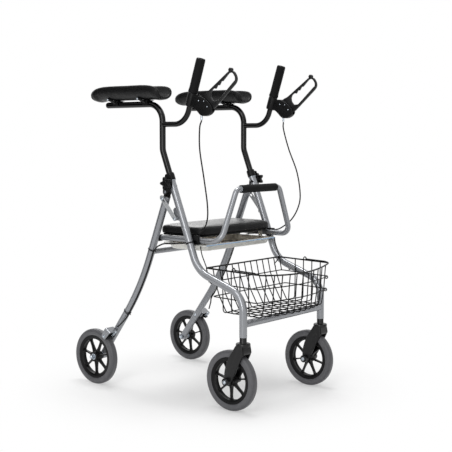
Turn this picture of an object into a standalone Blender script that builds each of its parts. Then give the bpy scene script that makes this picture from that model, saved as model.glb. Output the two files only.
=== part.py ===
"""Four-wheel walking frame with forearm rests, a fold-up seat, a wire basket and a tray.

Metres. Forward is -Y, the user's right is -X, the floor is Z = 0.
"""

import math

import bmesh
import bpy
from mathutils import Matrix, Vector

# Frame tubing
TUBE_R = 0.0127
TUBE_SIDES = 12
FRONT_X = 0.220
TOP_Z = 0.750
AXIS_SLOPE = 0.394
AXIS_Y0 = -0.3015
FRONT_KNEE = (-0.1254, 0.447)
FRONT_ELBOW = (-0.318, 0.3808)
FRONT_FOOT_Z = 0.245
BORE_R = 0.0112
BORE_LENGTH = 0.275
FRONT_CROSS_Z = 0.290

# Rear legs
LEG_X = 0.219
LEG_TOP = (0.0141, 0.690)
LEG_KNEE = (0.1386, 0.3687)
LEG_FOOT = (0.3376, 0.0990)
LEG_BEND_R = 0.90
REAR_CROSS = (0.0893, 0.496)
REAR_CROSS_R = 0.0095

# Fold hinge, stay link
HINGE = (0.0079, 0.706)
HINGE_PIN_R = 0.003
STAY_TOP = (0.0180, 0.6830)
STAY_LOW = (-0.0385, 0.6175)
STAY_X = 0.2385
STAY_HALF_T = 0.0013

# Wheels
WHEEL_R = 0.100
TYRE_HALF_W = 0.0145
RIM_R = 0.0775
RIM_INNER_R = 0.0640
HUB_R = 0.0175
SPOKES = 7
FRONT_SPOKE = {"right": 51.0, "left": 25.0}
REAR_SPOKE = {"right": 51.0, "left": 44.5}
WHEEL_SIDES = 24
CASTER_Y = -0.318
FRONT_AXLE = (-0.270, 0.100)
REAR_AXLE = (0.335, 0.100)
REAR_WHEEL_X = 0.254

# Telescoping arms
ARM_R = 0.0106
ARM_INSERT = 0.165
ARM_KINK = (0.032, 0.8464)
ARM_TEE_Z = 0.9335
PAD_TUBE_Z = 1.002
PAD_TUBE_END = 0.294
BRANCH_R = 0.0094
GRIP_LOW = (-0.1052, 1.0350)
GRIP_HIGH = (-0.1410, 1.1440)
GRIP_R = 0.015
LEVER_PIVOT = (-0.160, 0.988)
LEVER_X = 0.222

# Forearm pads
PAD_X = 0.220
PAD_FRONT = 0.018
PAD_REAR = 0.3505
PAD_HALF_W = 0.0455
PAD_T = 0.012
PAD_BASE_Z = 1.0165
PAD_RISE = 0.0405

# Seat
RAIL_X = 0.194
RAIL_Z = 0.545
RAIL_R = 0.0095
RAIL_REAR = 0.066
SEAT_PIVOT = (0.072, 0.5425)
BOW_Y = -0.208
BOW_FOOT_Y = -0.202
BOW_TOP_Z = 0.717
BOW_TOP_X = 0.118
SEAT_HALF_W = 0.194
SEAT_FRONT = -0.118
SEAT_REAR = 0.077
SEAT_EDGE_Z = (0.5600, 0.5870)
SEAT_CROWN_Z = 0.5955
CUSHION_SIDES = 28
SADDLE_Y = -0.107

# Tray under the seat
TRAY_FLANGE_X = 0.198
TRAY_FLANGE_Z = 0.5300
TRAY_FLOOR_Z = 0.5080
TRAY_FRONT = -0.140
TRAY_REAR = 0.058
TRAY_T = 0.0022

# Basket
RIM_Z = 0.453
RING_Z = (0.401, 0.354)
FLOOR_Z = 0.3075
BASKET_COLUMNS = 11
BASKET_ROWS = 4
WIRE_T = 0.0030
RIM_WIRE_R = 0.0029

RIGHT, LEFT = -1.0, 1.0
SIDES = (("right", RIGHT), ("left", LEFT))


def clear_scene():
    for obj in list(bpy.data.objects):
        bpy.data.objects.remove(obj, do_unlink=True)


def material(name, rgb, metallic, roughness):
    found = bpy.data.materials.get(name)
    if found:
        return found
    made = bpy.data.materials.new(name)
    made.use_nodes = True
    shader = made.node_tree.nodes["Principled BSDF"]
    shader.inputs["Base Color"].default_value = (*rgb, 1.0)
    shader.inputs["Metallic"].default_value = metallic
    shader.inputs["Roughness"].default_value = roughness
    made.diffuse_color = (*rgb, 1.0)
    return made


FINISHES = {
    "silver": ((0.50, 0.51, 0.53), 0.8, 0.35),
    "black_gloss": ((0.015, 0.015, 0.017), 0.3, 0.2),
    "black_plastic": ((0.02, 0.02, 0.022), 0.0, 0.55),
    "rubber": ((0.10, 0.10, 0.11), 0.0, 0.8),
    "vinyl": ((0.02, 0.02, 0.022), 0.0, 0.45),
    "zinc": ((0.62, 0.65, 0.70), 0.9, 0.3),
    "clear_plastic": ((0.75, 0.80, 0.86), 0.0, 0.2),
    "black_wire": ((0.02, 0.02, 0.02), 0.2, 0.4),
}


def solid(bm, name="piece"):
    """One object from a bmesh, with its faces turned outwards."""
    bmesh.ops.remove_doubles(bm, verts=bm.verts, dist=1e-7)
    bmesh.ops.recalc_face_normals(bm, faces=bm.faces)
    mesh = bpy.data.meshes.new(name)
    bm.to_mesh(mesh)
    bm.free()
    obj = bpy.data.objects.new(name, mesh)
    bpy.context.scene.collection.objects.link(obj)
    return obj


def evaluated(obj):
    """The object's mesh with its modifiers applied."""
    graph = bpy.context.evaluated_depsgraph_get()
    mesh = bpy.data.meshes.new_from_object(obj.evaluated_get(graph))
    obj.modifiers.clear()
    obj.data = mesh
    return obj


def combine(base, others, operation="UNION"):
    """The base with every other piece added to it or cut from it."""
    for other in others:
        step = base.modifiers.new("combine", "BOOLEAN")
        step.operation = operation
        step.solver = "EXACT"
        step.object = other
    evaluated(base)
    for other in others:
        bpy.data.objects.remove(other, do_unlink=True)
    return base


def node(name, obj, finish, origin=(0.0, 0.0, 0.0), smooth=40.0):
    """Names a finished piece, gives it its own material and sets its origin."""
    obj.name = name
    obj.data.name = name
    origin = Vector(origin)
    obj.data.transform(Matrix.Translation(-origin))
    obj.location = origin
    obj.data.materials.clear()
    rgb, metallic, roughness = FINISHES[finish]
    obj.data.materials.append(material(f"{name}_{finish}", rgb, metallic, roughness))
    for polygon in obj.data.polygons:
        polygon.material_index = 0
    obj.data.shade_smooth()
    obj.data.set_sharp_from_angle(angle=math.radians(smooth))
    return obj


def rounded(points, radii, step=15.0):
    """A polyline with each inner corner turned through an arc of the given radius."""
    points = [Vector(p) for p in points]
    path = [points[0]]
    for before, corner, after, radius in zip(points, points[1:], points[2:], radii):
        inward = (before - corner).normalized()
        outward = (after - corner).normalized()
        turn = math.pi - inward.angle(outward)
        reach = radius * math.tan(turn / 2)
        start = corner + inward * reach
        centre = corner + (inward + outward).normalized() * (radius / math.cos(turn / 2))
        arm = start - centre
        side = (corner + outward * reach - centre)
        axis = arm.cross(side).normalized()
        count = max(2, math.ceil(math.degrees(turn) / step))
        for index in range(count + 1):
            path.append(centre + Matrix.Rotation(turn * index / count, 3, axis) @ arm)
    path.append(points[-1])
    return path


def smooth_path(points, per_span=4):
    """A Catmull-Rom curve through the points."""
    points = [Vector(p) for p in points]
    padded = [2 * points[0] - points[1], *points, 2 * points[-1] - points[-2]]
    path = []
    for a, b, c, d in zip(padded, padded[1:], padded[2:], padded[3:]):
        for index in range(per_span):
            t = index / per_span
            path.append(0.5 * ((2 * b) + (c - a) * t + (2 * a - 5 * b + 4 * c - d) * t * t
                               + (3 * b - a - 3 * c + d) * t * t * t))
    path.append(points[-1])
    return path


def sweep(path, radius, sides=TUBE_SIDES, closed=False, phase=0.0):
    """A round bar along a path; radius may be one value or one for each point."""
    path = [Vector(p) for p in path]
    count = len(path)
    radii = radius if isinstance(radius, (list, tuple)) else [radius] * count
    bm = bmesh.new()
    rings = []
    normal = None
    for index, point in enumerate(path):
        if closed:
            before, after = path[index - 1], path[(index + 1) % count]
        else:
            before, after = path[max(index - 1, 0)], path[min(index + 1, count - 1)]
        tangent = ((point - before).normalized() + (after - point).normalized()).normalized()
        if normal is None:
            normal = Vector((1, 0, 0)) if abs(tangent.x) < 0.9 else Vector((0, 0, 1))
        normal = (normal - tangent * normal.dot(tangent)).normalized()
        across = tangent.cross(normal)
        widen = 1.0
        if 0 < index < count - 1 or closed:
            widen = 1.0 / max(0.5, (point - before).normalized().dot(tangent))
        ring = []
        for side in range(sides):
            angle = 2 * math.pi * (side + phase) / sides
            offset = normal * math.cos(angle) + across * math.sin(angle)
            ring.append(bm.verts.new(point + offset * radii[index] * widen))
        rings.append(ring)
    spans = list(zip(rings, rings[1:]))
    if closed:
        spans.append((rings[-1], rings[0]))
    for first, second in spans:
        for side in range(sides):
            after = (side + 1) % sides
            bm.faces.new((first[side], first[after], second[after], second[side]))
    if not closed:
        bm.faces.new(rings[0])
        bm.faces.new(rings[-1])
    return solid(bm)


def bar_x(x0, x1, y, z, radius, sides=12, phase=0.5):
    """A cylinder along X."""
    return sweep([(x0, y, z), (x1, y, z)], radius, sides, phase=phase)


def turned_x(profile, centre, sides, phase=0.5, closed=True):
    """A profile of (radius, x offset) turned about the X axis through centre."""
    bm = bmesh.new()
    rings = []
    for radius, offset in profile:
        ring = []
        for side in range(sides):
            angle = 2 * math.pi * (side + phase) / sides
            ring.append(bm.verts.new((
                centre[0] + offset,
                centre[1] + radius * math.sin(angle),
                centre[2] - radius * math.cos(angle),
            )))
        rings.append(ring)
    pairs = list(zip(rings, rings[1:]))
    if closed:
        pairs.append((rings[-1], rings[0]))
    for first, second in pairs:
        for side in range(sides):
            after = (side + 1) % sides
            bm.faces.new((first[side], first[after], second[after], second[side]))
    if not closed:
        bm.faces.new(rings[0])
        bm.faces.new(rings[-1])
    return solid(bm)


def plate_x(outline, x0, x1):
    """An outline of (y, z) points made solid between two X planes."""
    bm = bmesh.new()
    low = [bm.verts.new((x0, y, z)) for y, z in outline]
    high = [bm.verts.new((x1, y, z)) for y, z in outline]
    bm.faces.new(low)
    bm.faces.new(high)
    for index in range(len(outline)):
        after = (index + 1) % len(outline)
        bm.faces.new((low[index], low[after], high[after], high[index]))
    return solid(bm)


def block(low, high):
    """A rectangular block between two corners."""
    outline = [(low[1], low[2]), (high[1], low[2]), (high[1], high[2]), (low[1], high[2])]
    return plate_x(outline, low[0], high[0])


def arc(centre, radius, start, end, count):
    """Points (y, z) on an arc; angles in degrees from +Y towards +Z."""
    points = []
    for index in range(count + 1):
        angle = math.radians(start + (end - start) * index / count)
        points.append((centre[0] + radius * math.cos(angle), centre[1] + radius * math.sin(angle)))
    return points


def capsule(first, second, radius, second_radius=None, count=6):
    """The outline of two circles joined by straight sides."""
    second_radius = radius if second_radius is None else second_radius
    heading = math.degrees(math.atan2(second[1] - first[1], second[0] - first[0]))
    return (arc(second, second_radius, heading - 90, heading + 90, count)
            + arc(first, radius, heading + 90, heading + 270, count))


def axis_point(z):
    """The point of the telescoping axis at a height, as (y, z)."""
    return (AXIS_SLOPE * z + AXIS_Y0, z)


AXIS_DIR = Vector((0.0, AXIS_SLOPE, 1.0)).normalized()
LEG_DIR = Vector((0.0, LEG_FOOT[0] - LEG_KNEE[0], LEG_FOOT[1] - LEG_KNEE[1])).normalized()


def front_tube_path(x):
    top = axis_point(TOP_Z)
    points = [(x, *top), (x, *FRONT_KNEE), (x, *FRONT_ELBOW), (x, CASTER_Y, FRONT_FOOT_Z)]
    return rounded(points, (0.100, 0.070), step=14.0)


def leg_path(x):
    points = [(x, *LEG_TOP), (x, *LEG_KNEE), (x, *LEG_FOOT)]
    return rounded(points, (LEG_BEND_R,), step=3.6)


def make_front_tube(name, side):
    """Bent front upright: bored for the arm, with the lug and pin of the stay link."""
    x = FRONT_X * side
    tube = sweep(front_tube_path(x), TUBE_R)
    top = Vector((x, *axis_point(TOP_Z)))
    lug_line = [axis_point(0.606), (-0.0455, 0.6125), *arc(STAY_LOW, 0.0066, -90, 20, 3),
                (-0.0245, 0.6470), (-0.0300, 0.6540), axis_point(0.655)]
    lug = plate_x(lug_line, side * 0.2270, side * 0.2312)
    spacer = bar_x(side * 0.2290, side * 0.2366, *STAY_LOW, 0.0050, 8)
    pin = bar_x(side * 0.2290, side * 0.2415, *STAY_LOW, 0.0028, 8)
    head = bar_x(side * 0.2402, side * 0.2428, *STAY_LOW, 0.0058, 6)
    boss_y, boss_z = axis_point(0.720)
    boss = bar_x(side * 0.2120, side * 0.2068, boss_y, boss_z, 0.0044, 10)
    combine(tube, [lug, spacer, pin, head, boss])
    bore = sweep([top + AXIS_DIR * 0.01, top - AXIS_DIR * BORE_LENGTH], BORE_R)
    foot = Vector((x, CASTER_Y, FRONT_FOOT_Z))
    socket = sweep([foot - Vector((0, 0, 0.01)), foot + Vector((0, 0, 0.024))], 0.0108, 12)
    combine(tube, [bore, socket], "DIFFERENCE")
    return node(f"front_tube_{name}", tube, "silver")


def make_front_cross_tube():
    """Cross tube between the front uprights, its ends coped to their round sides."""
    tube = bar_x(-FRONT_X, FRONT_X, CASTER_Y, FRONT_CROSS_Z, 0.0120, 14)
    cutters = []
    for _, side in SIDES:
        x = FRONT_X * side
        cutters.append(sweep([(x, CASTER_Y, 0.262), (x, CASTER_Y, 0.318)], 0.01305))
    return node("front_cross_tube", combine(tube, cutters, "DIFFERENCE"), "silver")


def make_top_bracket(name, side):
    """Moulded collar on the top of a front tube; its outboard arm holds the hinge pin."""
    x = FRONT_X * side
    low, high = Vector((x, *axis_point(0.7440))), Vector((x, *axis_point(0.7680)))
    collar = sweep([low, low + AXIS_DIR * 0.003, high - AXIS_DIR * 0.003, high],
                   [0.0140, 0.0152, 0.0150, 0.0134])
    outline = [(-0.0160, 0.7660), (-0.0230, 0.7500), (-0.0240, 0.7300), (-0.0150, 0.7120)]
    outline += arc(HINGE, 0.0103, -130, 25, 5)
    outline += [(0.0165, 0.7240), (0.0120, 0.7480), (0.0060, 0.7660)]
    arm = plate_x(outline, side * 0.2330, side * 0.2366)
    web = plate_x([(-0.0090, 0.7470), (0.0050, 0.7470), (0.0080, 0.7650), (-0.0080, 0.7650)],
                  side * 0.2250, side * 0.2340)
    pin = bar_x(side * 0.2085, side * 0.2340, *HINGE, HINGE_PIN_R, 8)
    rivet = bar_x(side * 0.2080, side * 0.2110, *HINGE, 0.0058, 8)
    spacer = bar_x(side * 0.2256, side * 0.2340, *HINGE, 0.0070, 8)
    boss = bar_x(side * 0.2350, side * 0.2395, *axis_point(0.7355), 0.0100, 10)
    combine(collar, [arm, web, pin, rivet, spacer, boss])
    top = Vector((x, *axis_point(TOP_Z)))
    sleeve = sweep([low - AXIS_DIR * 0.03, top + AXIS_DIR * 0.0004], 0.01308)
    bore = sweep([top - AXIS_DIR * 0.03, high + AXIS_DIR * 0.01], BORE_R)
    screw = bar_x(side * 0.2200, side * 0.2500, *axis_point(0.7355), 0.0042, 8)
    combine(collar, [sleeve, bore, screw], "DIFFERENCE")
    return node(f"top_bracket_{name}", collar, "black_plastic", (x, *HINGE))


def make_clamp_knob(name, side):
    """Five-lobed knob that clamps the telescoping arm."""
    y, z = axis_point(0.7355)
    outline = []
    for index in range(25):
        angle = 2 * math.pi * index / 25
        radius = 0.0182 + 0.0044 * math.cos(5 * angle)
        outline.append((y + radius * math.cos(angle), z + radius * math.sin(angle)))
    star = plate_x(outline, side * 0.2450, side * 0.2590)
    hub = sweep([(side * 0.2399, y, z), (side * 0.2600, y, z), (side * 0.2620, y, z)],
                [0.0095, 0.0105, 0.0080], 10)
    screw = bar_x(side * 0.2335, side * 0.2410, y, z, 0.0036, 8)
    knob = combine(star, [hub, screw])
    return node(f"clamp_knob_{name}", knob, "black_plastic", (side * 0.2396, y, z))


def make_arm_tube(name, side):
    """Cranked arm: straight in the front tube, upright, then back under the forearm pad."""
    x = FRONT_X * side
    top = Vector((x, *axis_point(TOP_Z)))
    start = top - AXIS_DIR * ARM_INSERT
    points = [start, (x, *ARM_KINK), (x, ARM_KINK[0], PAD_TUBE_Z), (x, PAD_TUBE_END, PAD_TUBE_Z)]
    path = rounded(points, (0.050, 0.060), step=18.0)
    radii = [ARM_R] * len(path)
    path += [Vector((x, PAD_TUBE_END + 0.005, PAD_TUBE_Z))]
    radii += [ARM_R * 0.72]
    tube = sweep(path, radii)
    down = (ARM_TEE_Z - GRIP_LOW[1]) / (GRIP_HIGH[1] - GRIP_LOW[1])
    corner = (x, *grip_point(down))
    branch_points = [(x, ARM_KINK[0], ARM_TEE_Z), corner, (x, *GRIP_HIGH)]
    branch = sweep(rounded(branch_points, (0.065,), step=13.0), BRANCH_R, 10)
    combine(tube, [branch])
    return node(f"arm_tube_{name}", tube, "black_gloss", start)


def grip_point(t):
    """A point of the grip line; 0 is the grip's foot and 1 its top."""
    y = GRIP_LOW[0] + (GRIP_HIGH[0] - GRIP_LOW[0]) * t
    z = GRIP_LOW[1] + (GRIP_HIGH[1] - GRIP_LOW[1]) * t
    return (y, z)


def make_hand_grip(name, side):
    """Upright hand grip: a sleeve with a flared foot and an open top."""
    x = FRONT_X * side
    stations = (0.012, 0.05, 0.10, 0.50, 0.95, 1.012)
    radii = [0.0160, 0.0164, GRIP_R, GRIP_R, GRIP_R, 0.0138]
    sleeve = sweep([(x, *grip_point(t)) for t in stations], radii, 14)
    bore = sweep([(x, *grip_point(-0.2)), (x, *grip_point(1.2))], 0.0098, 10)
    return node(f"hand_grip_{name}", combine(sleeve, [bore], "DIFFERENCE"), "rubber")


def make_brake_housing(name, side):
    """Clamp sleeve on the branch with the drop-shaped lever housing in front of it."""
    x = FRONT_X * side
    sleeve = sweep([(x, *grip_point(t)) for t in (-0.40, -0.37, -0.03, -0.002)],
                   [0.0140, 0.0156, 0.0158, 0.0148], 12)
    outline = [(-0.0900, 1.0240), (-0.1160, 1.0260), (-0.1420, 1.0250), (-0.1620, 1.0160),
               (-0.1800, 1.0040), (-0.1945, 0.9900), (-0.1960, 0.9750), (-0.1830, 0.9625),
               (-0.1640, 0.9570), (-0.1460, 0.9600), (-0.1300, 0.9760), (-0.1180, 0.9860),
               (-0.0960, 0.9920)]
    plate = plate_x(outline, side * (LEVER_X - 0.0100), side * (LEVER_X + 0.0100))
    ferrule = sweep([(side * 0.225, -0.1470, 0.9680), (side * 0.225, -0.1472, 0.9460)], 0.0036, 10)
    combine(sleeve, [plate, ferrule])
    slot_outline = [(-0.1220, 1.0400), (-0.1220, 1.0130), (-0.1340, 0.9700),
                    (-0.1560, 0.9660), (-0.1760, 0.9680), (-0.2100, 0.9760), (-0.2100, 1.0400)]
    slot = plate_x(slot_outline, side * (LEVER_X - 0.0046), side * (LEVER_X + 0.0046))
    bore = sweep([(x, *grip_point(-0.6)), (x, *grip_point(0.3))], 0.0098, 12)
    combine(sleeve, [slot, bore], "DIFFERENCE")
    pin = bar_x(side * (LEVER_X - 0.0090), side * (LEVER_X + 0.0090), *LEVER_PIVOT, 0.003, 10)
    combine(sleeve, [pin])
    return node(f"brake_housing_{name}", sleeve, "black_plastic")


def make_brake_lever(name, side):
    """Loop lever with a toothed inner bar and a knobbed tip."""
    outer = [(-0.1450, 1.0230), (-0.1540, 1.0285), (-0.1660, 1.0320), (-0.2610, 1.1015),
             (-0.2720, 1.1075), (-0.2845, 1.1030), (-0.2960, 1.0820), (-0.2945, 1.0660),
             (-0.2200, 0.9990), (-0.2010, 0.9830), (-0.1720, 0.9710), (-0.1500, 0.9740),
             (-0.1420, 0.9880), (-0.1400, 1.0080)]
    x0, x1 = side * (LEVER_X - 0.0040), side * (LEVER_X + 0.0040)
    loop = plate_x(outer, x0, x1)
    hole = [(-0.1880, 1.0390), (-0.2020, 1.0470), (-0.2070, 1.0430), (-0.2150, 1.0560),
            (-0.2200, 1.0520), (-0.2290, 1.0670), (-0.2350, 1.0630), (-0.2640, 1.0905),
            (-0.2735, 1.0935), (-0.2845, 1.0780), (-0.2810, 1.0650), (-0.2150, 1.0080),
            (-0.1960, 1.0070), (-0.1860, 1.0180), (-0.1840, 1.0300)]
    window = plate_x(hole, side * (LEVER_X - 0.01), side * (LEVER_X + 0.01))
    pivot = bar_x(side * (LEVER_X - 0.01), side * (LEVER_X + 0.01), *LEVER_PIVOT, 0.0035, 12)
    combine(loop, [window, pivot], "DIFFERENCE")
    rail = sweep([(side * LEVER_X, -0.1760, 1.0375), (side * LEVER_X, -0.2580, 1.0975)], 0.0050, 8)
    low = sweep([(side * LEVER_X, -0.2120, 0.9985), (side * LEVER_X, -0.2870, 1.0670)], 0.0050, 8)
    knob = bar_x(side * (LEVER_X - 0.0095), side * (LEVER_X + 0.0095), -0.2725, 1.0985, 0.0072, 10)
    combine(loop, [rail, low, knob])
    return node(f"brake_lever_{name}", loop, "black_plastic", (side * LEVER_X, *LEVER_PIVOT))


def pad_section(t):
    """Half-width, rim rise, thickness and lower bulge of the pad; t runs 0 to 1 along it."""
    along = abs(2 * t - 1)
    plan = math.sqrt(max(0.0, 1 - along ** 7))
    if t < 0.5:
        rise = 0.016 + (PAD_RISE - 0.016) * (1 - along ** 6.5) ** 0.5
    else:
        rise = 0.011 + (PAD_RISE - 0.011) * (1 - along ** 5) ** 0.6
    bulge = 0.0030 * math.exp(-((t - 0.06) / 0.05) ** 2) + 0.0045 * math.exp(-((t - 0.94) / 0.045) ** 2)
    return PAD_HALF_W * (0.70 + 0.30 * plan), rise, PAD_T * (0.62 + 0.38 * plan), bulge


def make_forearm_pad(name, side):
    """Padded gutter for a forearm, with blunt rolled ends that hang a little lower."""
    x = PAD_X * side
    bm = bmesh.new()
    rings = []
    stations = (0.0, 0.012, 0.04, 0.09, 0.19, 0.42, 0.60, 0.78, 0.89, 0.95, 0.986, 1.0)
    for t in stations:
        half, rise, thick, bulge = pad_section(t)
        y = PAD_FRONT + (PAD_REAR - PAD_FRONT) * t
        if t in (0.0, 1.0):
            thick, rise, bulge = thick * 0.5, rise * 0.85, bulge * 0.3
        inner_half = half - thick * 0.5
        centre = []
        for index in range(9):
            s = -1 + index / 4
            wide = inner_half * math.sin(s * math.pi / 2) if abs(s) < 1 else inner_half * s
            centre.append(Vector((wide, rise * abs(s) ** 2.2)))
        outer, inner = [], []
        for index, point in enumerate(centre):
            before = centre[max(index - 1, 0)]
            after = centre[min(index + 1, 8)]
            along = (after - before).normalized()
            across = Vector((along.y, -along.x))
            local = thick * (0.5 if 0 < index < 8 else 0.34)
            outer.append(point + across * (local + bulge * (1 - abs(index - 4) / 4) ** 0.5))
            inner.append(point - across * local)
        tips = []
        for point, towards in ((centre[8], centre[7]), (centre[0], centre[1])):
            tips.append(point + (point - towards).normalized() * thick * 0.30)
        loop = [*outer, tips[0], *reversed(inner), tips[1]]
        base = PAD_BASE_Z + PAD_T * 0.5
        rings.append([bm.verts.new((x + p.x * side, y, base + p.y)) for p in loop])
    for first, second in zip(rings, rings[1:]):
        for index in range(len(first)):
            after = (index + 1) % len(first)
            bm.faces.new((first[index], first[after], second[after], second[index]))
    bm.faces.new(rings[0])
    bm.faces.new(rings[-1])
    return node(f"forearm_pad_{name}", solid(bm), "vinyl", smooth=70.0)


def make_pad_carrier(name, side):
    """Steel strip under the pad with two feet that clamp the pad tube."""
    x = PAD_X * side
    strip = block((x - 0.0190, 0.084, 1.0144), (x + 0.0190, 0.286, 1.0160))
    feet = []
    cuts = []
    for y0, y1 in ((0.089, 0.113), (0.233, 0.259)):
        feet.append(plate_x([(y0, 0.9985), (y1, 0.9985), (y1 - 0.003, 1.0150), (y0 + 0.003, 1.0150)],
                            x - 0.0145, x + 0.0145))
        feet.append(bar_x(x + side * 0.0130, x + side * 0.0172, (y0 + y1) / 2, 1.0020, 0.0042, 8))
    combine(strip, feet)
    cuts.append(sweep([(x, 0.05, PAD_TUBE_Z), (x, 0.33, PAD_TUBE_Z)], ARM_R + 0.0004, phase=0.0))
    return node(f"pad_carrier_{name}", combine(strip, cuts, "DIFFERENCE"), "black_plastic")


def make_rear_leg(name, side):
    """Bent rear leg with its axle bore and the shouldered pin of the stay link."""
    x = LEG_X * side
    leg = sweep(leg_path(x), TUBE_R)
    pin = bar_x(side * 0.2250, side * 0.2420, *STAY_TOP, 0.0024, 8)
    spacer = bar_x(side * 0.2250, side * 0.2366, *STAY_TOP, 0.0046, 8)
    head = bar_x(side * 0.2402, side * 0.2432, *STAY_TOP, 0.0066, 6)
    eye = bar_x(side * 0.2080, side * 0.2300, *REAR_AXLE, 0.0135, 12)
    combine(leg, [pin, spacer, head, eye])
    bore = bar_x(side * 0.190, side * 0.245, *REAR_AXLE, 0.0046, 12)
    pivot = bar_x(side * 0.190, side * 0.217, *SEAT_PIVOT, 0.0042, 10)
    combine(leg, [bore, pivot], "DIFFERENCE")
    return node(f"rear_leg_{name}", leg, "silver")


def make_leg_knuckle(name, side):
    """Moulded knuckle on the top of a rear leg, turning on the bracket's pin."""
    x = LEG_X * side
    up = (Vector((x, *HINGE)) - Vector((x, *LEG_TOP))).normalized()
    base = Vector((x, *LEG_TOP)) + up * 0.0003
    shoulder = sweep([base, base + up * 0.0030, base + up * 0.0050], [0.0126, 0.0122, 0.0100])
    low = base + up * 0.002
    across = Vector((0.0, up.z, -up.y)) * 0.0092
    heading = math.degrees(math.atan2(up.z, up.y))
    outline = arc(HINGE, 0.0095, heading - 90, heading + 90, 6)
    outline += [((low - across).y, (low - across).z), ((low + across).y, (low + across).z)]
    ear = plate_x(outline, side * 0.2127, side * 0.2253)
    combine(shoulder, [ear])
    hole = bar_x(side * 0.2, side * 0.24, *HINGE, HINGE_PIN_R + 0.0005, 12)
    combine(shoulder, [hole], "DIFFERENCE")
    return node(f"leg_knuckle_{name}", shoulder, "black_plastic", (x, *HINGE))


def make_rear_cross_tube():
    """Cross tube between the rear legs, coped to them."""
    tube = bar_x(-LEG_X, LEG_X, *REAR_CROSS, REAR_CROSS_R, 12)
    cutters = [sweep(leg_path(LEG_X * side), 0.01305) for _, side in SIDES]
    return node("rear_cross_tube", combine(tube, cutters, "DIFFERENCE"), "silver")


def make_stay_link(name, side):
    """Flat stay between the leg and the front tube, slotted round the leg's pin."""
    low, high = Vector(STAY_LOW), Vector(STAY_TOP)
    along = (high - low).normalized()
    end = high + along * 0.0045
    x0, x1 = side * (STAY_X - STAY_HALF_T), side * (STAY_X + STAY_HALF_T)
    bar = plate_x(capsule(STAY_LOW, end, 0.0065, 0.0068), x0, x1)
    eye = bar_x(side * 0.23, side * 0.245, *STAY_LOW, 0.0033, 10)
    slot_end = high - along * 0.0135
    slot = plate_x(capsule(tuple(slot_end), tuple(high), 0.0036), side * 0.23, side * 0.245)
    combine(bar, [eye, slot], "DIFFERENCE")
    return node(f"stay_link_{name}", bar, "silver", (side * STAY_X, *STAY_LOW))


def wheel_tyre(name, centre):
    """Solid tyre with a rounded tread and one flat facet straight down."""
    flat = 1.0 / math.cos(math.pi / WHEEL_SIDES)
    w = TYRE_HALF_W
    profile = [(RIM_R + 0.0004, -0.0122), (0.0890, -w), (0.0960, -0.0118), (WHEEL_R, -0.0045),
               (WHEEL_R, 0.0045), (0.0960, 0.0118), (0.0890, w), (RIM_R + 0.0004, 0.0122)]
    profile = [(radius * flat, offset) for radius, offset in profile]
    return node(name, turned_x(profile, centre, WHEEL_SIDES), "rubber", centre)


def wheel_rim(name, centre, hub_half, first_spoke):
    """Moulded rim: flanged ring, seven tapering ribs and a bored hub."""
    ring_profile = [(RIM_INNER_R, -0.0095), (RIM_R - 0.004, -0.0122), (RIM_R, -0.0110),
                    (RIM_R, 0.0110), (RIM_R - 0.004, 0.0122), (RIM_INNER_R, 0.0095)]
    ring = turned_x(ring_profile, centre, WHEEL_SIDES)
    hub = turned_x([(0.0050, -hub_half), (HUB_R, -hub_half), (HUB_R + 0.002, 0.0),
                    (HUB_R, hub_half), (0.0050, hub_half)], centre, 10)
    spokes = []
    for index in range(SPOKES):
        angle = 2 * math.pi * index / SPOKES + math.radians(first_spoke)
        radial = Vector((0, math.sin(angle), -math.cos(angle)))
        around = Vector((0, math.cos(angle), math.sin(angle)))
        bm = bmesh.new()
        corners = []
        for reach, wide, half in ((HUB_R - 0.003, 0.0052, 0.0085), (RIM_INNER_R + 0.004, 0.0030, 0.0062)):
            for across, offset in ((-1, -1), (1, -1), (1, 1), (-1, 1)):
                place = Vector(centre) + radial * reach + around * wide * across
                corners.append(bm.verts.new(place + Vector((half * offset, 0, 0))))
        a, b = corners[:4], corners[4:]
        bm.faces.new(a)
        bm.faces.new(b)
        for k in range(4):
            bm.faces.new((a[k], a[(k + 1) % 4], b[(k + 1) % 4], b[k]))
        spokes.append(solid(bm))
    return node(name, combine(ring, [hub, *spokes]), "black_plastic", centre)


def make_fork(name, side):
    """Caster fork: stem, round cap and two blades raked back to the axle."""
    x = FRONT_X * side
    stem = sweep([(x, CASTER_Y, z) for z in (0.2600, 0.2560, 0.2440, 0.2360, 0.2305, 0.2180)],
                 [0.0085, 0.0100, 0.0100, 0.0110, 0.0232, 0.0238], 12)
    outline = [(-0.3000, 0.2215), (-0.2960, 0.2050), (-0.2820, 0.1850), (-0.2690, 0.1640),
               (-0.2650, 0.1370), (-0.2585, 0.1180)]
    outline += arc(FRONT_AXLE, 0.0140, 20, -160, 7)
    outline += [(-0.2930, 0.1080), (-0.3150, 0.1500), (-0.3300, 0.1740), (-0.3400, 0.1900),
                (-0.3425, 0.2060), (-0.3390, 0.2215)]
    blades = [plate_x(outline, x + 0.0168, x + 0.0232), plate_x(outline, x - 0.0232, x - 0.0168)]
    crown_line = [(-0.3010, 0.2215), (-0.2975, 0.2060), (-0.3120, 0.1960), (-0.3300, 0.1780),
                  (-0.3410, 0.1850), (-0.3455, 0.1990), (-0.3425, 0.2120), (-0.3390, 0.2215)]
    crown = plate_x(crown_line, x - 0.0200, x + 0.0200)
    combine(stem, [*blades, crown])
    clearance = bar_x(x - 0.0168, x + 0.0168, *FRONT_AXLE, 0.1045, 24)
    bore = bar_x(x - 0.05, x + 0.05, *FRONT_AXLE, 0.0044, 12)
    combine(stem, [clearance, bore], "DIFFERENCE")
    return node(f"caster_fork_{name}", stem, "black_plastic", (x, CASTER_Y, 0.230))


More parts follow.
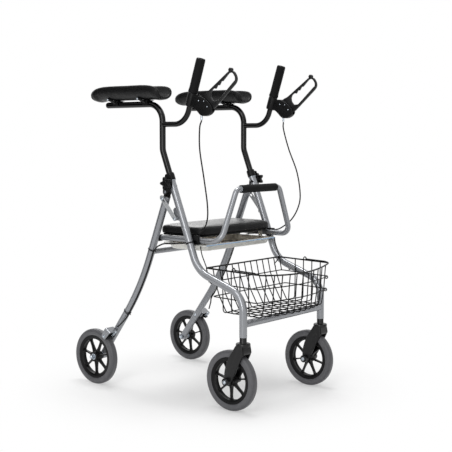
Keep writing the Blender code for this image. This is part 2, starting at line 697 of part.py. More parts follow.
def make_front_axle(name, side):
    """Axle bolt and nut of a caster wheel."""
    x = FRONT_X * side
    pin = bar_x(x - 0.0265, x + 0.0265, *FRONT_AXLE, 0.0040, 12)
    heads = [bar_x(x - 0.0290, x - 0.0236, *FRONT_AXLE, 0.0072, 6),
             bar_x(x + 0.0236, x + 0.0290, *FRONT_AXLE, 0.0072, 6)]
    return node(f"front_axle_{name}", combine(pin, heads), "zinc", (x, *FRONT_AXLE))


def make_rear_axle(name, side):
    """Axle bolt through a rear leg and its wheel."""
    pin = bar_x(side * 0.2000, side * 0.2800, *REAR_AXLE, 0.0040, 8)
    pieces = [bar_x(side * 0.1985, side * 0.2050, *REAR_AXLE, 0.0080, 6),
              bar_x(side * 0.2322, side * 0.2380, *REAR_AXLE, 0.0080, 8),
              bar_x(side * 0.2712, side * 0.2790, *REAR_AXLE, 0.0080, 6)]
    cap = sweep([(side * 0.2785, *REAR_AXLE), (side * 0.2825, *REAR_AXLE), (side * 0.2845, *REAR_AXLE)],
                [0.0060, 0.0052, 0.0030], 8)
    return node(f"rear_axle_{name}", combine(pin, [*pieces, cap]), "zinc",
                (side * REAR_WHEEL_X, *REAR_AXLE))


def along_leg(distance, offset=0.0):
    """A point (y, z) up the leg from the rear axle; offset is forward and down of it."""
    y = REAR_AXLE[0] - LEG_DIR.y * distance - LEG_DIR.z * -offset
    z = REAR_AXLE[1] - LEG_DIR.z * distance - LEG_DIR.y * offset
    return (y, z)


def make_brake_bracket(name, side):
    """Bent steel strap from the leg over the tyre, carrying the brake shoe."""
    far = 0.2745
    roof = [along_leg(0.1300, 0.014), along_leg(0.1300, -0.012),
            along_leg(0.1332, -0.012), along_leg(0.1332, 0.014)]
    top = plate_x(roof, side * 0.2322, side * far)
    wall = [along_leg(0.0970, 0.007), along_leg(0.0960, -0.006), along_leg(0.1120, -0.012),
            along_leg(0.1332, -0.012), along_leg(0.1332, 0.014), along_leg(0.1120, 0.012)]
    outer = plate_x(wall, side * (far - 0.0026), side * far)
    inner_line = [along_leg(0.1120, 0.012), along_leg(0.1120, -0.012),
                  along_leg(0.1332, -0.012), along_leg(0.1332, 0.014)]
    inner = plate_x(inner_line, side * 0.2322, side * 0.2350)
    bolt = bar_x(side * (far - 0.001), side * (far + 0.0035), *along_leg(0.1030, 0.0), 0.0050, 6)
    combine(top, [outer, inner, bolt])
    return node(f"brake_bracket_{name}", top, "silver")


def make_brake_shoe(name, side):
    """Brake block above the tyre with its pull rod."""
    line = [along_leg(0.1018, 0.0110), along_leg(0.1022, 0.0), along_leg(0.1018, -0.0110),
            along_leg(0.1190, -0.0110), along_leg(0.1190, 0.0110)]
    shoe = plate_x(line, side * 0.2395, side * 0.2685)
    lip = plate_x([along_leg(0.1100, 0.0100), along_leg(0.1190, 0.0100),
                   along_leg(0.1190, 0.0230), along_leg(0.1140, 0.0230)],
                  side * 0.2480, side * 0.2620)
    return node(f"brake_shoe_{name}", combine(shoe, [lip]), "black_plastic",
                (side * REAR_WHEEL_X, *along_leg(0.1100)))


def make_fold_bow():
    """One bent tube: two side rails under the seat and the upright lifting bow."""
    points = [(-RAIL_X, RAIL_REAR, RAIL_Z), (-RAIL_X, BOW_FOOT_Y, RAIL_Z), (-BOW_TOP_X, BOW_Y, BOW_TOP_Z),
              (BOW_TOP_X, BOW_Y, BOW_TOP_Z), (RAIL_X, BOW_FOOT_Y, RAIL_Z), (RAIL_X, RAIL_REAR, RAIL_Z)]
    path = rounded(points, (0.040, 0.024, 0.024, 0.040), step=20.0)
    return node("fold_bow", sweep(path, RAIL_R, 10), "silver", (0.0, *SEAT_PIVOT))


def make_bow_grip():
    """Foam sleeve on the top of the bow."""
    outer = sweep([(x, BOW_Y, BOW_TOP_Z) for x in (-0.0985, -0.0970, 0.0970, 0.0985)],
                  [0.0120, 0.0135, 0.0135, 0.0120], 14)
    bore = bar_x(-0.12, 0.12, BOW_Y, BOW_TOP_Z, RAIL_R + 0.0004, 12, phase=0.0)
    return node("bow_grip", combine(outer, [bore], "DIFFERENCE"), "rubber", (0, BOW_Y, BOW_TOP_Z))


def make_rail_end(name, side):
    """Moulded end of a seat rail with the pivot pin that runs into the leg."""
    x = RAIL_X * side
    cap = plate_x(arc(SEAT_PIVOT, 0.0108, 0, 330, 11), side * (RAIL_X - 0.0090), side * (RAIL_X + 0.0096))
    socket = sweep([(x, RAIL_REAR - 0.0060, RAIL_Z), (x, SEAT_PIVOT[0], SEAT_PIVOT[1] + 0.002)], 0.0112, 12)
    pin = bar_x(side * 0.2000, side * 0.2150, *SEAT_PIVOT, 0.0036, 10)
    combine(cap, [socket, pin])
    cut = sweep([(x, RAIL_REAR - 0.0300, RAIL_Z), (x, RAIL_REAR + 0.0004, RAIL_Z)], RAIL_R + 0.0004, 12)
    combine(cap, [cut], "DIFFERENCE")
    return node(f"rail_end_{name}", cap, "black_plastic", (x, *SEAT_PIVOT))


def make_seat_board():
    """Moulded seat base lying on the rails."""
    outline = []
    front, rear, half, corner = SEAT_FRONT + 0.004, SEAT_REAR - 0.004, SEAT_HALF_W - 0.003, 0.030
    for cx, cy, start in ((half - corner, rear - corner, 0), (-half + corner, rear - corner, 90),
                          (-half + corner, front + corner, 180), (half - corner, front + corner, 270)):
        outline += arc((cx, cy), corner, start, start + 90, 3)
    bm = bmesh.new()
    low = [bm.verts.new((x, y, 0.5550)) for x, y in outline]
    high = [bm.verts.new((x, y, 0.5592)) for x, y in outline]
    bm.faces.new(low)
    bm.faces.new(high)
    for index in range(len(outline)):
        after = (index + 1) % len(outline)
        bm.faces.new((low[index], low[after], high[after], high[index]))
    return node("seat_board", solid(bm), "black_plastic", (0.0, *SEAT_PIVOT))


def make_seat_cushion():
    """Vinyl cushion with drawn-in sides, a soft top edge and a low crown."""
    bm = bmesh.new()
    rings = []
    middle_y = (SEAT_FRONT + SEAT_REAR) / 2
    half_y = (SEAT_REAR - SEAT_FRONT) / 2
    levels = ((0.955, SEAT_EDGE_Z[0]), (0.985, 0.5625), (1.0, 0.5680), (1.0, 0.5790),
              (0.985, 0.5860), (0.93, 0.5905), (0.78, 0.5935), (0.50, 0.5950), (0.22, SEAT_CROWN_Z))
    for scale, z in levels:
        ring = []
        for index in range(CUSHION_SIDES):
            angle = 2 * math.pi * index / CUSHION_SIDES
            c, s = math.cos(angle), math.sin(angle)
            power = 2 / 7
            px = math.copysign(abs(c) ** power, c)
            py = math.copysign(abs(s) ** power, s)
            inset = (1 - scale) * half_y if scale > 0.9 else None
            if inset is None:
                x, y = SEAT_HALF_W * scale * px, half_y * scale * py
            else:
                x, y = (SEAT_HALF_W - inset) * px, (half_y - inset) * py
            ring.append(bm.verts.new((x, middle_y + y, z)))
        rings.append(ring)
    for first, second in zip(rings, rings[1:]):
        for index in range(CUSHION_SIDES):
            after = (index + 1) % CUSHION_SIDES
            bm.faces.new((first[index], first[after], second[after], second[index]))
    bm.faces.new(rings[0])
    bm.faces.new(rings[-1])
    return node("seat_cushion", solid(bm), "vinyl", (0.0, *SEAT_PIVOT), smooth=70.0)


def make_seat_saddle(name, side):
    """Moulded rest on the front tube that the seat rail drops on to."""
    outer_x = side * 0.2069
    shelf = plate_x([(SADDLE_Y - 0.011, 0.5310), (SADDLE_Y + 0.011, 0.5310),
                     (SADDLE_Y + 0.011, 0.5352), (SADDLE_Y - 0.011, 0.5352)], side * 0.1860, outer_x)
    tube_y = axis_point(0.540)[0]
    wall = plate_x([(SADDLE_Y - 0.011, 0.5310), (tube_y + 0.008, 0.5310), (tube_y + 0.012, 0.5620),
                    (SADDLE_Y - 0.004, 0.5640), (SADDLE_Y - 0.011, 0.5540)], side * 0.2040, outer_x)
    top = 0.5740 if side == RIGHT else 0.5600
    clip = plate_x([(SADDLE_Y - 0.0135, 0.5460), (-0.0960, 0.5460), (-0.0940, 0.5540),
                    (-0.1000, top), (SADDLE_Y - 0.0135, top)], side * 0.2045, side * 0.2132)
    combine(shelf, [wall, clip])
    cut = sweep([(FRONT_X * side, *axis_point(0.50)), (FRONT_X * side, *axis_point(0.60))], 0.01305)
    return node(f"seat_saddle_{name}", combine(shelf, [cut], "DIFFERENCE"), "black_plastic")


def tray_loop(half, front, rear, radius, z):
    points = []
    for cx, cy, start in ((half - radius, rear - radius, 0), (-half + radius, rear - radius, 90),
                          (-half + radius, front + radius, 180), (half - radius, front + radius, 270)):
        for y, x in arc((cy, cx), radius, 90 - start, -start, 3):
            points.append((x, y, z))
    return points


def make_tray():
    """Clear tray with a flange, hung under the seat rails by four snap hooks."""
    loops = [
        tray_loop(TRAY_FLANGE_X, TRAY_FRONT, TRAY_REAR, 0.014, TRAY_FLANGE_Z),
        tray_loop(TRAY_FLANGE_X, TRAY_FRONT, TRAY_REAR, 0.014, TRAY_FLANGE_Z - TRAY_T),
        tray_loop(0.1830, TRAY_FRONT + 0.014, TRAY_REAR - 0.010, 0.020, TRAY_FLANGE_Z - TRAY_T),
        tray_loop(0.1760, TRAY_FRONT + 0.020, TRAY_REAR - 0.016, 0.024, TRAY_FLOOR_Z),
        tray_loop(0.1735, TRAY_FRONT + 0.0225, TRAY_REAR - 0.0185, 0.022, TRAY_FLOOR_Z + TRAY_T),
        tray_loop(0.1806, TRAY_FRONT + 0.0164, TRAY_REAR - 0.0124, 0.018, TRAY_FLANGE_Z),
    ]
    bm = bmesh.new()
    rings = [[bm.verts.new(p) for p in loop] for loop in loops]
    count = len(rings[0])
    for first, second in ((0, 1), (1, 2), (2, 3), (4, 5), (5, 0)):
        for index in range(count):
            after = (index + 1) % count
            bm.faces.new((rings[first][index], rings[first][after],
                          rings[second][after], rings[second][index]))
    bm.faces.new(rings[3])
    bm.faces.new(rings[4])
    tray = solid(bm)
    hooks = []
    for _, side in SIDES:
        for y0 in (-0.084, 0.020):
            outline = [(side * x, z) for x, z in hook_outline()]
            hooks.append(plate_y(outline, y0, y0 + 0.016))
    return node("tray", combine(tray, hooks), "clear_plastic", (0.0, 0.0, TRAY_FLANGE_Z))


def hook_outline():
    """Snap hook round the inner side of a rail, as (|x|, z)."""
    inner = arc((RAIL_X, RAIL_Z), RAIL_R + 0.0005, 205, 128, 4)
    outer = arc((RAIL_X, RAIL_Z), RAIL_R + 0.0026, 128, 190, 4)
    return [(0.1849, 0.5290), *inner, *outer, (0.1816, 0.5290)]


def plate_y(outline, y0, y1):
    """An outline of (x, z) points made solid between two Y planes."""
    bm = bmesh.new()
    low = [bm.verts.new((x, y0, z)) for x, z in outline]
    high = [bm.verts.new((x, y1, z)) for x, z in outline]
    bm.faces.new(low)
    bm.faces.new(high)
    for index in range(len(outline)):
        after = (index + 1) % len(outline)
        bm.faces.new((low[index], low[after], high[after], high[index]))
    return solid(bm)


def basket_edge(level):
    """Half-widths and depths of the basket at a level: 0 rim, 3 floor."""
    rear_half = (0.2040, 0.2010, 0.1960, 0.1860)[level]
    front_half = (0.1985, 0.1965, 0.1930, 0.1850)[level]
    rear_y = (-0.1465, -0.1660, -0.1860, -0.2080)[level]
    front_y = (-0.3680, -0.3640, -0.3590, -0.3400)[level]
    bow = (0.0641, 0.0580, 0.0500, 0.0340)[level]
    z = (RIM_Z, RING_Z[0], RING_Z[1], FLOOR_Z)[level]
    return rear_half, front_half, rear_y, front_y, bow, z


def basket_point(level, across, along):
    """A basket point; across runs -1 to 1 over X and along 0 (rear) to 1 (front)."""
    rear_half, front_half, rear_y, front_y, bow, z = basket_edge(level)
    half = rear_half + (front_half - rear_half) * along
    y = rear_y + (front_y - bow * math.cos(across * math.pi / 2) ** 0.8 - rear_y) * along
    return Vector((half * across, y, z))


def basket_perimeter():
    """The (across, along) places of the basket's upright wires, once round."""
    places = []
    for index in range(BASKET_COLUMNS):
        places.append((-1 + 2 * index / BASKET_COLUMNS, 0.0))
    for index in range(BASKET_ROWS):
        places.append((1.0, index / BASKET_ROWS))
    for index in range(BASKET_COLUMNS):
        places.append((1 - 2 * index / BASKET_COLUMNS, 1.0))
    for index in range(BASKET_ROWS):
        places.append((-1.0, 1 - index / BASKET_ROWS))
    return places


def make_basket():
    """Wire basket: a welded net of bars with a heavier rim and two hooks and hangers."""
    bm = bmesh.new()
    places = basket_perimeter()
    levels = []
    for level in range(3):
        levels.append([bm.verts.new(basket_point(level, a, b)) for a, b in places])
    grid = {}
    for i in range(BASKET_COLUMNS + 1):
        for j in range(BASKET_ROWS + 1):
            place = basket_point(3, -1 + 2 * i / BASKET_COLUMNS, j / BASKET_ROWS)
            grid[i, j] = bm.verts.new(place)
    bottom = [grid[i, 0] for i in range(BASKET_COLUMNS)]
    bottom += [grid[BASKET_COLUMNS, j] for j in range(BASKET_ROWS)]
    bottom += [grid[BASKET_COLUMNS - i, BASKET_ROWS] for i in range(BASKET_COLUMNS)]
    bottom += [grid[0, BASKET_ROWS - j] for j in range(BASKET_ROWS)]
    levels.append(bottom)
    count = len(places)
    for upper, lower in zip(levels, levels[1:]):
        for index in range(count):
            after = (index + 1) % count
            bm.faces.new((upper[index], upper[after], lower[after], lower[index]))
    for i in range(BASKET_COLUMNS):
        for j in range(BASKET_ROWS):
            bm.faces.new((grid[i, j], grid[i, j + 1], grid[i + 1, j + 1], grid[i + 1, j]))
    net = solid(bm)
    wires = net.modifiers.new("wires", "WIREFRAME")
    wires.thickness = WIRE_T
    wires.use_even_offset = True
    wires.use_replace = True
    wires.use_boundary = True
    evaluated(net)
    rim = sweep([basket_point(0, a, b) for a, b in places], RIM_WIRE_R, 6, closed=True, phase=0.4)
    extras = [rim]
    for _, side in SIDES:
        extras.append(basket_hook(side))
        extras.append(basket_hanger(side))
    return node("basket", combine(net, extras), "black_wire", (0.0, -0.28, RIM_Z), smooth=30.0)


def basket_hook(side):
    """Wire hook from the rim's side up beside the front tube and back to the rim."""
    points = [(side * 0.2010, -0.2420, RIM_Z - 0.002), (side * 0.2010, -0.2560, 0.4630),
              (side * 0.2010, -0.2760, 0.4630), (side * 0.1998, -0.2960, RIM_Z - 0.001)]
    return sweep(rounded(points, (0.006, 0.006), step=30.0), 0.0016, 6)


def basket_hanger(side):
    """Thin wire from a rear corner of the rim up towards the seat rest."""
    points = [(side * 0.2030, -0.1490, RIM_Z), (side * 0.2050, -0.1300, 0.5000),
              (side * 0.2052, -0.1240, 0.5280)]
    return sweep(points, 0.0013, 6)


def cable_upper(name, side, points):
    """Outer cable from the brake housing down to the seat rest."""
    path = smooth_path([(side * x, y, z) for x, y, z in points], 2)
    return node(f"brake_cable_upper_{name}", sweep(path, 0.0025, 6), "black_plastic")


def make_upper_cables():
    right = [(0.2250, -0.1472, 0.9440), (0.2242, -0.1380, 0.9186), (0.2215, -0.1357, 0.8500),
             (0.2160, -0.1486, 0.7565), (0.2110, -0.1592, 0.6698), (0.2080, -0.1560, 0.6180),
             (0.2095, -0.1410, 0.5850), (0.2100, -0.1228, 0.5690)]
    left = [(0.2250, -0.1472, 0.9440), (0.2242, -0.1490, 0.9173), (0.2205, -0.1755, 0.8469),
            (0.2160, -0.2150, 0.7659), (0.2120, -0.2327, 0.6872), (0.2090, -0.2258, 0.6391),
            (0.2070, -0.1975, 0.5943), (0.2090, -0.1500, 0.5620), (0.2100, -0.1222, 0.5535)]
    cable_upper("right", RIGHT, right)
    cable_upper("left", LEFT, left)


def make_lower_cable(name, side):
    """Outer cable from the seat rest round the front tube and down the leg to the brake."""
    points = [(side * x, y, z) for x, y, z in (
        (0.2045, -0.0710, 0.5400), (0.2125, -0.0620, 0.5365), (0.2270, -0.0520, 0.5345),
        (0.2350, -0.0300, 0.5328), (0.2350, 0.0115, 0.5300), (0.2345, 0.0349, 0.5191),
        (0.2330, 0.0560, 0.5000))]
    path = smooth_path(points, 2)
    for point in leg_path(LEG_X * side):
        if 0.24 < point.z < 0.49:
            path.append(Vector((side * 0.2316, point.y - 0.0105, point.z - 0.0020)))
    path.append(Vector((side * 0.2350, 0.2120, 0.2420)))
    path.append(Vector((side * 0.2500, 0.2290, 0.2180)))
    return node(f"brake_cable_lower_{name}", sweep(path, 0.0026, 5), "black_plastic")


def build():
    clear_scene()
    make_front_cross_tube()
    make_rear_cross_tube()
    for name, side in SIDES:
        make_front_tube(name, side)
        make_top_bracket(name, side)
        make_clamp_knob(name, side)
        make_arm_tube(name, side)
        make_hand_grip(name, side)
        make_brake_housing(name, side)
        make_brake_lever(name, side)
        make_forearm_pad(name, side)
        make_pad_carrier(name, side)
        make_rear_leg(name, side)
        make_leg_knuckle(name, side)
        make_stay_link(name, side)
        make_seat_saddle(name, side)
        make_rail_end(name, side)
        make_fork(name, side)
        make_front_axle(name, side)
        make_rear_axle(name, side)
        make_brake_bracket(name, side)
        make_brake_shoe(name, side)
        make_lower_cable(name, side)
        front = (FRONT_X * side, *FRONT_AXLE)
        rear = (REAR_WHEEL_X * side, *REAR_AXLE)
        wheel_tyre(f"front_tyre_{name}", front)
        wheel_rim(f"front_rim_{name}", front, 0.0150, FRONT_SPOKE[name])
        wheel_tyre(f"rear_tyre_{name}", rear)
        wheel_rim(f"rear_rim_{name}", rear, 0.0155, REAR_SPOKE[name])
    make_fold_bow()
    make_bow_grip()
    make_seat_board()
    make_seat_cushion()
    make_tray()
    make_basket()
    make_upper_cables()


build()
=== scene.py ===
"""Looks of a four-wheel walking frame with forearm rests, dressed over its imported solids.

Metres. Forward is -Y, the user's right is -X, the floor is Z = 0.
"""

from __future__ import annotations

import enum
import logging
import math
from dataclasses import dataclass, field
from typing import Callable, Iterable, Optional, Sequence

import bmesh
import bpy
from mathutils import Matrix, Vector, noise


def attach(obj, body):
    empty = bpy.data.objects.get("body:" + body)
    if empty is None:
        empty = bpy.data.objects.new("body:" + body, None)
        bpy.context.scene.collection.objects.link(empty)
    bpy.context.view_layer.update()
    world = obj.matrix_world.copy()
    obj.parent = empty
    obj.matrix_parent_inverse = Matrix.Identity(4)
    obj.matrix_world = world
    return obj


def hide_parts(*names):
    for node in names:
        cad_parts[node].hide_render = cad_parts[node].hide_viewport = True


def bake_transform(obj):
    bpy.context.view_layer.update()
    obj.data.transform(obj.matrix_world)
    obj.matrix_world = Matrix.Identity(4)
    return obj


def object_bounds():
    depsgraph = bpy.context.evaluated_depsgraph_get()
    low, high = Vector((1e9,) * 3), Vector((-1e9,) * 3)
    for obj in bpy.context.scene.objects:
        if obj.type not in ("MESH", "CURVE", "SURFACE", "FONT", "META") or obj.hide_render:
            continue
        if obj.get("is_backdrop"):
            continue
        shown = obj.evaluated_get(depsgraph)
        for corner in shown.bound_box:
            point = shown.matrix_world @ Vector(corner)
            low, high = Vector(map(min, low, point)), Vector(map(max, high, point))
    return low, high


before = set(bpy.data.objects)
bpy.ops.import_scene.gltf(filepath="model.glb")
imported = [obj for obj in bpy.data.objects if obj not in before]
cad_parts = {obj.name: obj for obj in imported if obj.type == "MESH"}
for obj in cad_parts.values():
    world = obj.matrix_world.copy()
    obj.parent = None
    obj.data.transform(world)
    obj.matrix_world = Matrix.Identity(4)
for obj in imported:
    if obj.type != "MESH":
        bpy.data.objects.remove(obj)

LOG = logging.getLogger("walking_frame")

BOTH_WAYS = (-1.0, 1.0)
FULL_TURN = 2 * math.pi
MM_PER_METRE = 1000
TUBE_SIDES = 44
FITTING_SIDES = 40
SETTLE_FRAMES = 20

# Edges that turn more than this, in degrees, are shaded sharp.
SHARP_ANGLE = 38.0
WIRE_SHARP_ANGLE = 60.0
NEVER_SHARP = 180.0

# Places that several sub-assemblies share: distances outboard of the middle, or (y, z).
UPRIGHT_X = 0.22
RAIL_X = 0.194
FRAME_TUBE = 0.0127
LEG_X = 0.219
STEM_Y = -0.318
FRONT_AXLE = (-0.27, 0.1)
REAR_AXLE = (0.335, 0.1)
HINGE = (0.0079, 0.706)
STAY_TOP = (0.018, 0.683)

Point = Sequence[float]
Rings = Sequence[tuple[float, float]]
Shape = bmesh.types.BMesh
Object = bpy.types.Object
Source = tuple[bpy.types.Node, str | int]


class Side(enum.Enum):
    """The two sides of the frame; the value is the sign of X."""

    RIGHT = -1.0
    LEFT = 1.0

    @property
    def word(self) -> str:
        """The side's word in node and body names."""
        return self.name.lower()

    def x(self, distance: float) -> float:
        """The X coordinate at a distance outboard of the middle."""
        return self.value * distance


# Colours and nodes


def hex_colour(code: str) -> tuple[float, float, float, float]:
    """Turns an sRGB hex colour to linear.

    Args:
        code: Six hex digits after a hash sign.

    Returns:
        Linear red, green and blue, and an alpha of 1.
    """
    channels = []
    for start in (1, 3, 5):
        value = int(code[start : start + 2], 16) / 255
        channels.append(value / 12.92 if value <= 0.04045 else ((value + 0.055) / 1.055) ** 2.4)
    return (*channels, 1.0)


def add_node(
    tree: bpy.types.NodeTree,
    kind: str,
    settings: Optional[dict] = None,
    links: Optional[dict] = None,
) -> bpy.types.Node:
    """Adds a node with its settings and links.

    Args:
        tree: The tree that gets the node.
        kind: The node's type name.
        settings: Attribute values, or input values by the socket's name or index.
        links: For an input's name or index, the (node, output name or index) that feeds it.

    Returns:
        The new node.
    """
    node = tree.nodes.new(kind)
    for key, value in (settings or {}).items():
        if isinstance(key, str) and hasattr(node, key):
            setattr(node, key, value)
        else:
            node.inputs[key].default_value = value
    for key, (source, output) in (links or {}).items():
        tree.links.new(source.outputs[output], node.inputs[key])
    return node


# Finishes


@dataclass(frozen=True)
class Look:
    """A material under way: its node tree, its surface shader and the finish's own values."""

    tree: bpy.types.NodeTree
    shader: bpy.types.Node
    colour: str
    roughness: float

    def texture(
        self, kind: str, scale: float, stretch: Optional[Point] = None, **settings: object
    ) -> Source:
        """Adds a texture over the piece's own coordinates.

        Args:
            kind: Noise or Voronoi.
            scale: The texture's scale, in cells to the metre.
            stretch: Factors on the coordinates, where they are not even.
            settings: Further values of the texture node.

        Returns:
            The node and its grey output.
        """
        vector = (add_node(self.tree, "ShaderNodeTexCoord"), "Object")
        if stretch:
            links = {"Vector": vector}
            vector = (add_node(self.tree, "ShaderNodeMapping", {"Scale": stretch}, links), "Vector")
        made = add_node(
            self.tree, f"ShaderNodeTex{kind}", {"Scale": scale, **settings}, {"Vector": vector}
        )
        return made, "Distance" if kind == "Voronoi" else "Fac"

    def vary(self, source: Source, darker: float, lighter: float, rough_span: float) -> None:
        """Lets a grey pattern shift the colour and the roughness.

        Args:
            source: The pattern's node and output.
            darker: The colour's factor where the pattern is low.
            lighter: The colour's factor where the pattern is high.
            rough_span: How far the roughness swings to each side.
        """
        base = hex_colour(self.colour)[:3]
        low, high = ((*(min(1.0, c * factor) for c in base), 1.0) for factor in (darker, lighter))
        mix = add_node(self.tree, "ShaderNodeMix", {"data_type": "RGBA", 6: low, 7: high}, {0: source})
        self.tree.links.new(mix.outputs[2], self.shader.inputs["Base Color"])
        ends = {"To Min": self.roughness - rough_span, "To Max": self.roughness + rough_span}
        span = add_node(self.tree, "ShaderNodeMapRange", ends, {"Value": source})
        self.tree.links.new(span.outputs["Result"], self.shader.inputs["Roughness"])

    def relief(
        self, source: Source, depth: float, strength: float, under: Optional[bpy.types.Node] = None
    ) -> bpy.types.Node:
        """Presses a pattern into the surface.

        Args:
            source: The pattern's node and output.
            depth: The relief's depth in metres.
            strength: The bump's strength.
            under: A bump that this one lies on.

        Returns:
            The bump node.
        """
        links = {"Height": source}
        if under:
            links["Normal"] = (under, "Normal")
        bump = add_node(self.tree, "ShaderNodeBump", {"Distance": depth, "Strength": strength}, links)
        self.tree.links.new(bump.outputs["Normal"], self.shader.inputs["Normal"])
        return bump


@dataclass(frozen=True)
class Finish:
    """A surface finish; a subclass adds the pattern of its real material.

    Its tone is the pattern's darker and lighter factor and the swing of the roughness,
    and its press is the relief's depth in metres and its strength.
    """

    name: str
    colour: str
    roughness: float
    metallic: float = 0.0
    ior: float = 1.5
    coat: float = 0.0
    coat_roughness: float = 0.1
    specular: float = 0.5
    slot: str = "black_plastic"

    def material(self) -> bpy.types.Material:
        """The finish as a material, made once.

        Returns:
            The material.
        """
        found = bpy.data.materials.get(self.name)
        if found:
            return found
        made = bpy.data.materials.new(self.name)
        made.use_nodes = True
        shader = made.node_tree.nodes["Principled BSDF"]
        values = {
            "Base Color": hex_colour(self.colour),
            "Roughness": self.roughness,
            "Metallic": self.metallic,
            "IOR": self.ior,
            "Specular IOR Level": self.specular,
            "Coat Weight": self.coat,
            "Coat Roughness": self.coat_roughness,
        }
        for socket, value in values.items():
            shader.inputs[socket].default_value = value
        made.diffuse_color = hex_colour(self.colour)
        self.dress(Look(made.node_tree, shader, self.colour, self.roughness))
        return made

    def dress(self, look: Look) -> None:
        """Adds the finish's own pattern; the base finish has none."""


@dataclass(frozen=True)
class MetallicPaint(Finish):
    """Powder coat with fine flakes, sprayed and baked on steel tube."""

    slot: str = "frame_paint"
    flake_mm: float = 0.9
    tone: tuple[float, float, float] = (0.82, 1.16, 0.05)
    press: tuple[float, float] = (0.0002, 0.05)

    def dress(self, look: Look) -> None:
        """Adds flakes, a soft unevenness of the coat and orange peel.

        Args:
            look: The material under way.
        """
        # Real flakes are 0.03 mm; these are drawn coarse enough to sparkle in the render.
        flake = look.texture("Noise", MM_PER_METRE / self.flake_mm, Detail=2.0, Roughness=0.7)
        cloud = look.texture("Noise", 9.0, Detail=3.0)
        both = add_node(look.tree, "ShaderNodeMix", {0: 0.35}, {2: flake, 3: cloud})
        look.vary((both, 0), *self.tone)
        look.relief(flake, *self.press)


@dataclass(frozen=True)
class Lacquer(Finish):
    """Wet-sprayed gloss lacquer; it flows out smooth with a faint orange peel."""

    slot: str = "arm_paint"
    peel_mm: float = 2.5
    tone: tuple[float, float, float] = (0.8, 1.3, 0.04)
    press: tuple[float, float] = (0.0002, 0.06)

    def dress(self, look: Look) -> None:
        """Adds the orange peel and faint wiping marks along the tube.

        Args:
            look: The material under way.
        """
        peel = look.texture("Noise", MM_PER_METRE / self.peel_mm, Detail=1.0)
        wipe = look.texture("Noise", 1.0, (260.0, 260.0, 14.0), Detail=2.0)
        look.vary(wipe, *self.tone)
        look.relief(peel, *self.press)


@dataclass(frozen=True)
class MouldedPlastic(Finish):
    """Injection-moulded nylon or ABS with a spark-eroded grain."""

    grain_mm: float = 1.1
    tone: tuple[float, float, float] = (0.75, 1.35, 0.07)
    press: tuple[float, float] = (0.0003, 0.16)

    def dress(self, look: Look) -> None:
        """Adds the mould's grain, and flow marks in the tone.

        Args:
            look: The material under way.
        """
        # The mould's own grain is about 0.1 mm; it is drawn wider so that it shows.
        grain = look.texture("Voronoi", MM_PER_METRE / self.grain_mm)
        flow = look.texture("Noise", 38.0, Detail=4.0, Distortion=0.6)
        look.vary(flow, *self.tone)
        look.relief(grain, *self.press)


@dataclass(frozen=True)
class TyreCompound(Finish):
    """Solid non-marking tyre, cast from grey polyurethane."""

    slot: str = "tyre"
    speck_mm: float = 2.2
    tone: tuple[float, float, float] = (0.78, 1.22, 0.08)
    press: tuple[float, float] = (0.0003, 0.25)

    def dress(self, look: Look) -> None:
        """Adds a dusty mottle, and fine casting pores.

        Args:
            look: The material under way.
        """
        dust = look.texture("Noise", 55.0, Detail=5.0, Roughness=0.65)
        pores = look.texture("Noise", MM_PER_METRE / self.speck_mm, Detail=2.0)
        look.vary(dust, *self.tone)
        look.relief(pores, *self.press)


@dataclass(frozen=True)
class VinylHide(Finish):
    """Embossed PVC upholstery with a leather-like grain and a satin face."""

    slot: str = "vinyl"
    grain_mm: float = 2.4
    crease_mm: float = 0.0
    tone: tuple[float, float, float] = (0.7, 1.4, 0.06)
    press: tuple[float, float] = (0.0004, 0.35)
    crease_press: tuple[float, float] = (0.001, 0.1)

    def dress(self, look: Look) -> None:
        """Adds the embossed cells, a soft mottle, and creases where the hide is drawn round.

        Args:
            look: The material under way.
        """
        # Cells of about 1 mm on the real hide, drawn a little larger to be seen.
        cells = look.texture("Voronoi", MM_PER_METRE / self.grain_mm, feature="DISTANCE_TO_EDGE")
        sharp = add_node(look.tree, "ShaderNodeMapRange", {"From Max": 0.12}, {"Value": cells})
        mottle = look.texture("Noise", 24.0, Detail=5.0, Roughness=0.6)
        look.vary(mottle, *self.tone)
        under = None
        if self.crease_mm:
            crease = look.texture("Noise", MM_PER_METRE / self.crease_mm, Detail=3.0, Distortion=1.2)
            under = look.relief(crease, *self.crease_press)
        look.relief((sharp, "Result"), *self.press, under)


@dataclass(frozen=True)
class FoamRubber(Finish):
    """Closed-cell foam sleeve, extruded; matt with open pores where it was cut."""

    slot: str = "foam"
    pore_mm: float = 1.4
    tone: tuple[float, float, float] = (0.75, 1.3, 0.08)
    press: tuple[float, float] = (0.0004, 0.3)

    def dress(self, look: Look) -> None:
        """Adds pores, and a soft handling sheen in patches.

        Args:
            look: The material under way.
        """
        pores = look.texture("Voronoi", MM_PER_METRE / self.pore_mm)
        worn = look.texture("Noise", 30.0, Detail=3.0)
        look.vary(worn, *self.tone)
        look.relief(pores, *self.press)


@dataclass(frozen=True)
class ZincPlate(Finish):
    """Blue-passivated zinc on turned or pressed steel."""

    slot: str = "zinc"
    lay_mm: float = 0.8
    tone: tuple[float, float, float] = (0.75, 1.2, 0.1)
    press: tuple[float, float] = (0.0001, 0.1)

    def dress(self, look: Look) -> None:
        """Adds the turned lay and the cloudy passivation.

        Args:
            look: The material under way.
        """
        cloud = look.texture("Noise", 160.0, Detail=4.0)
        lay = look.texture("Noise", MM_PER_METRE / self.lay_mm, Detail=1.0)
        look.vary(cloud, *self.tone)
        look.relief(lay, *self.press)


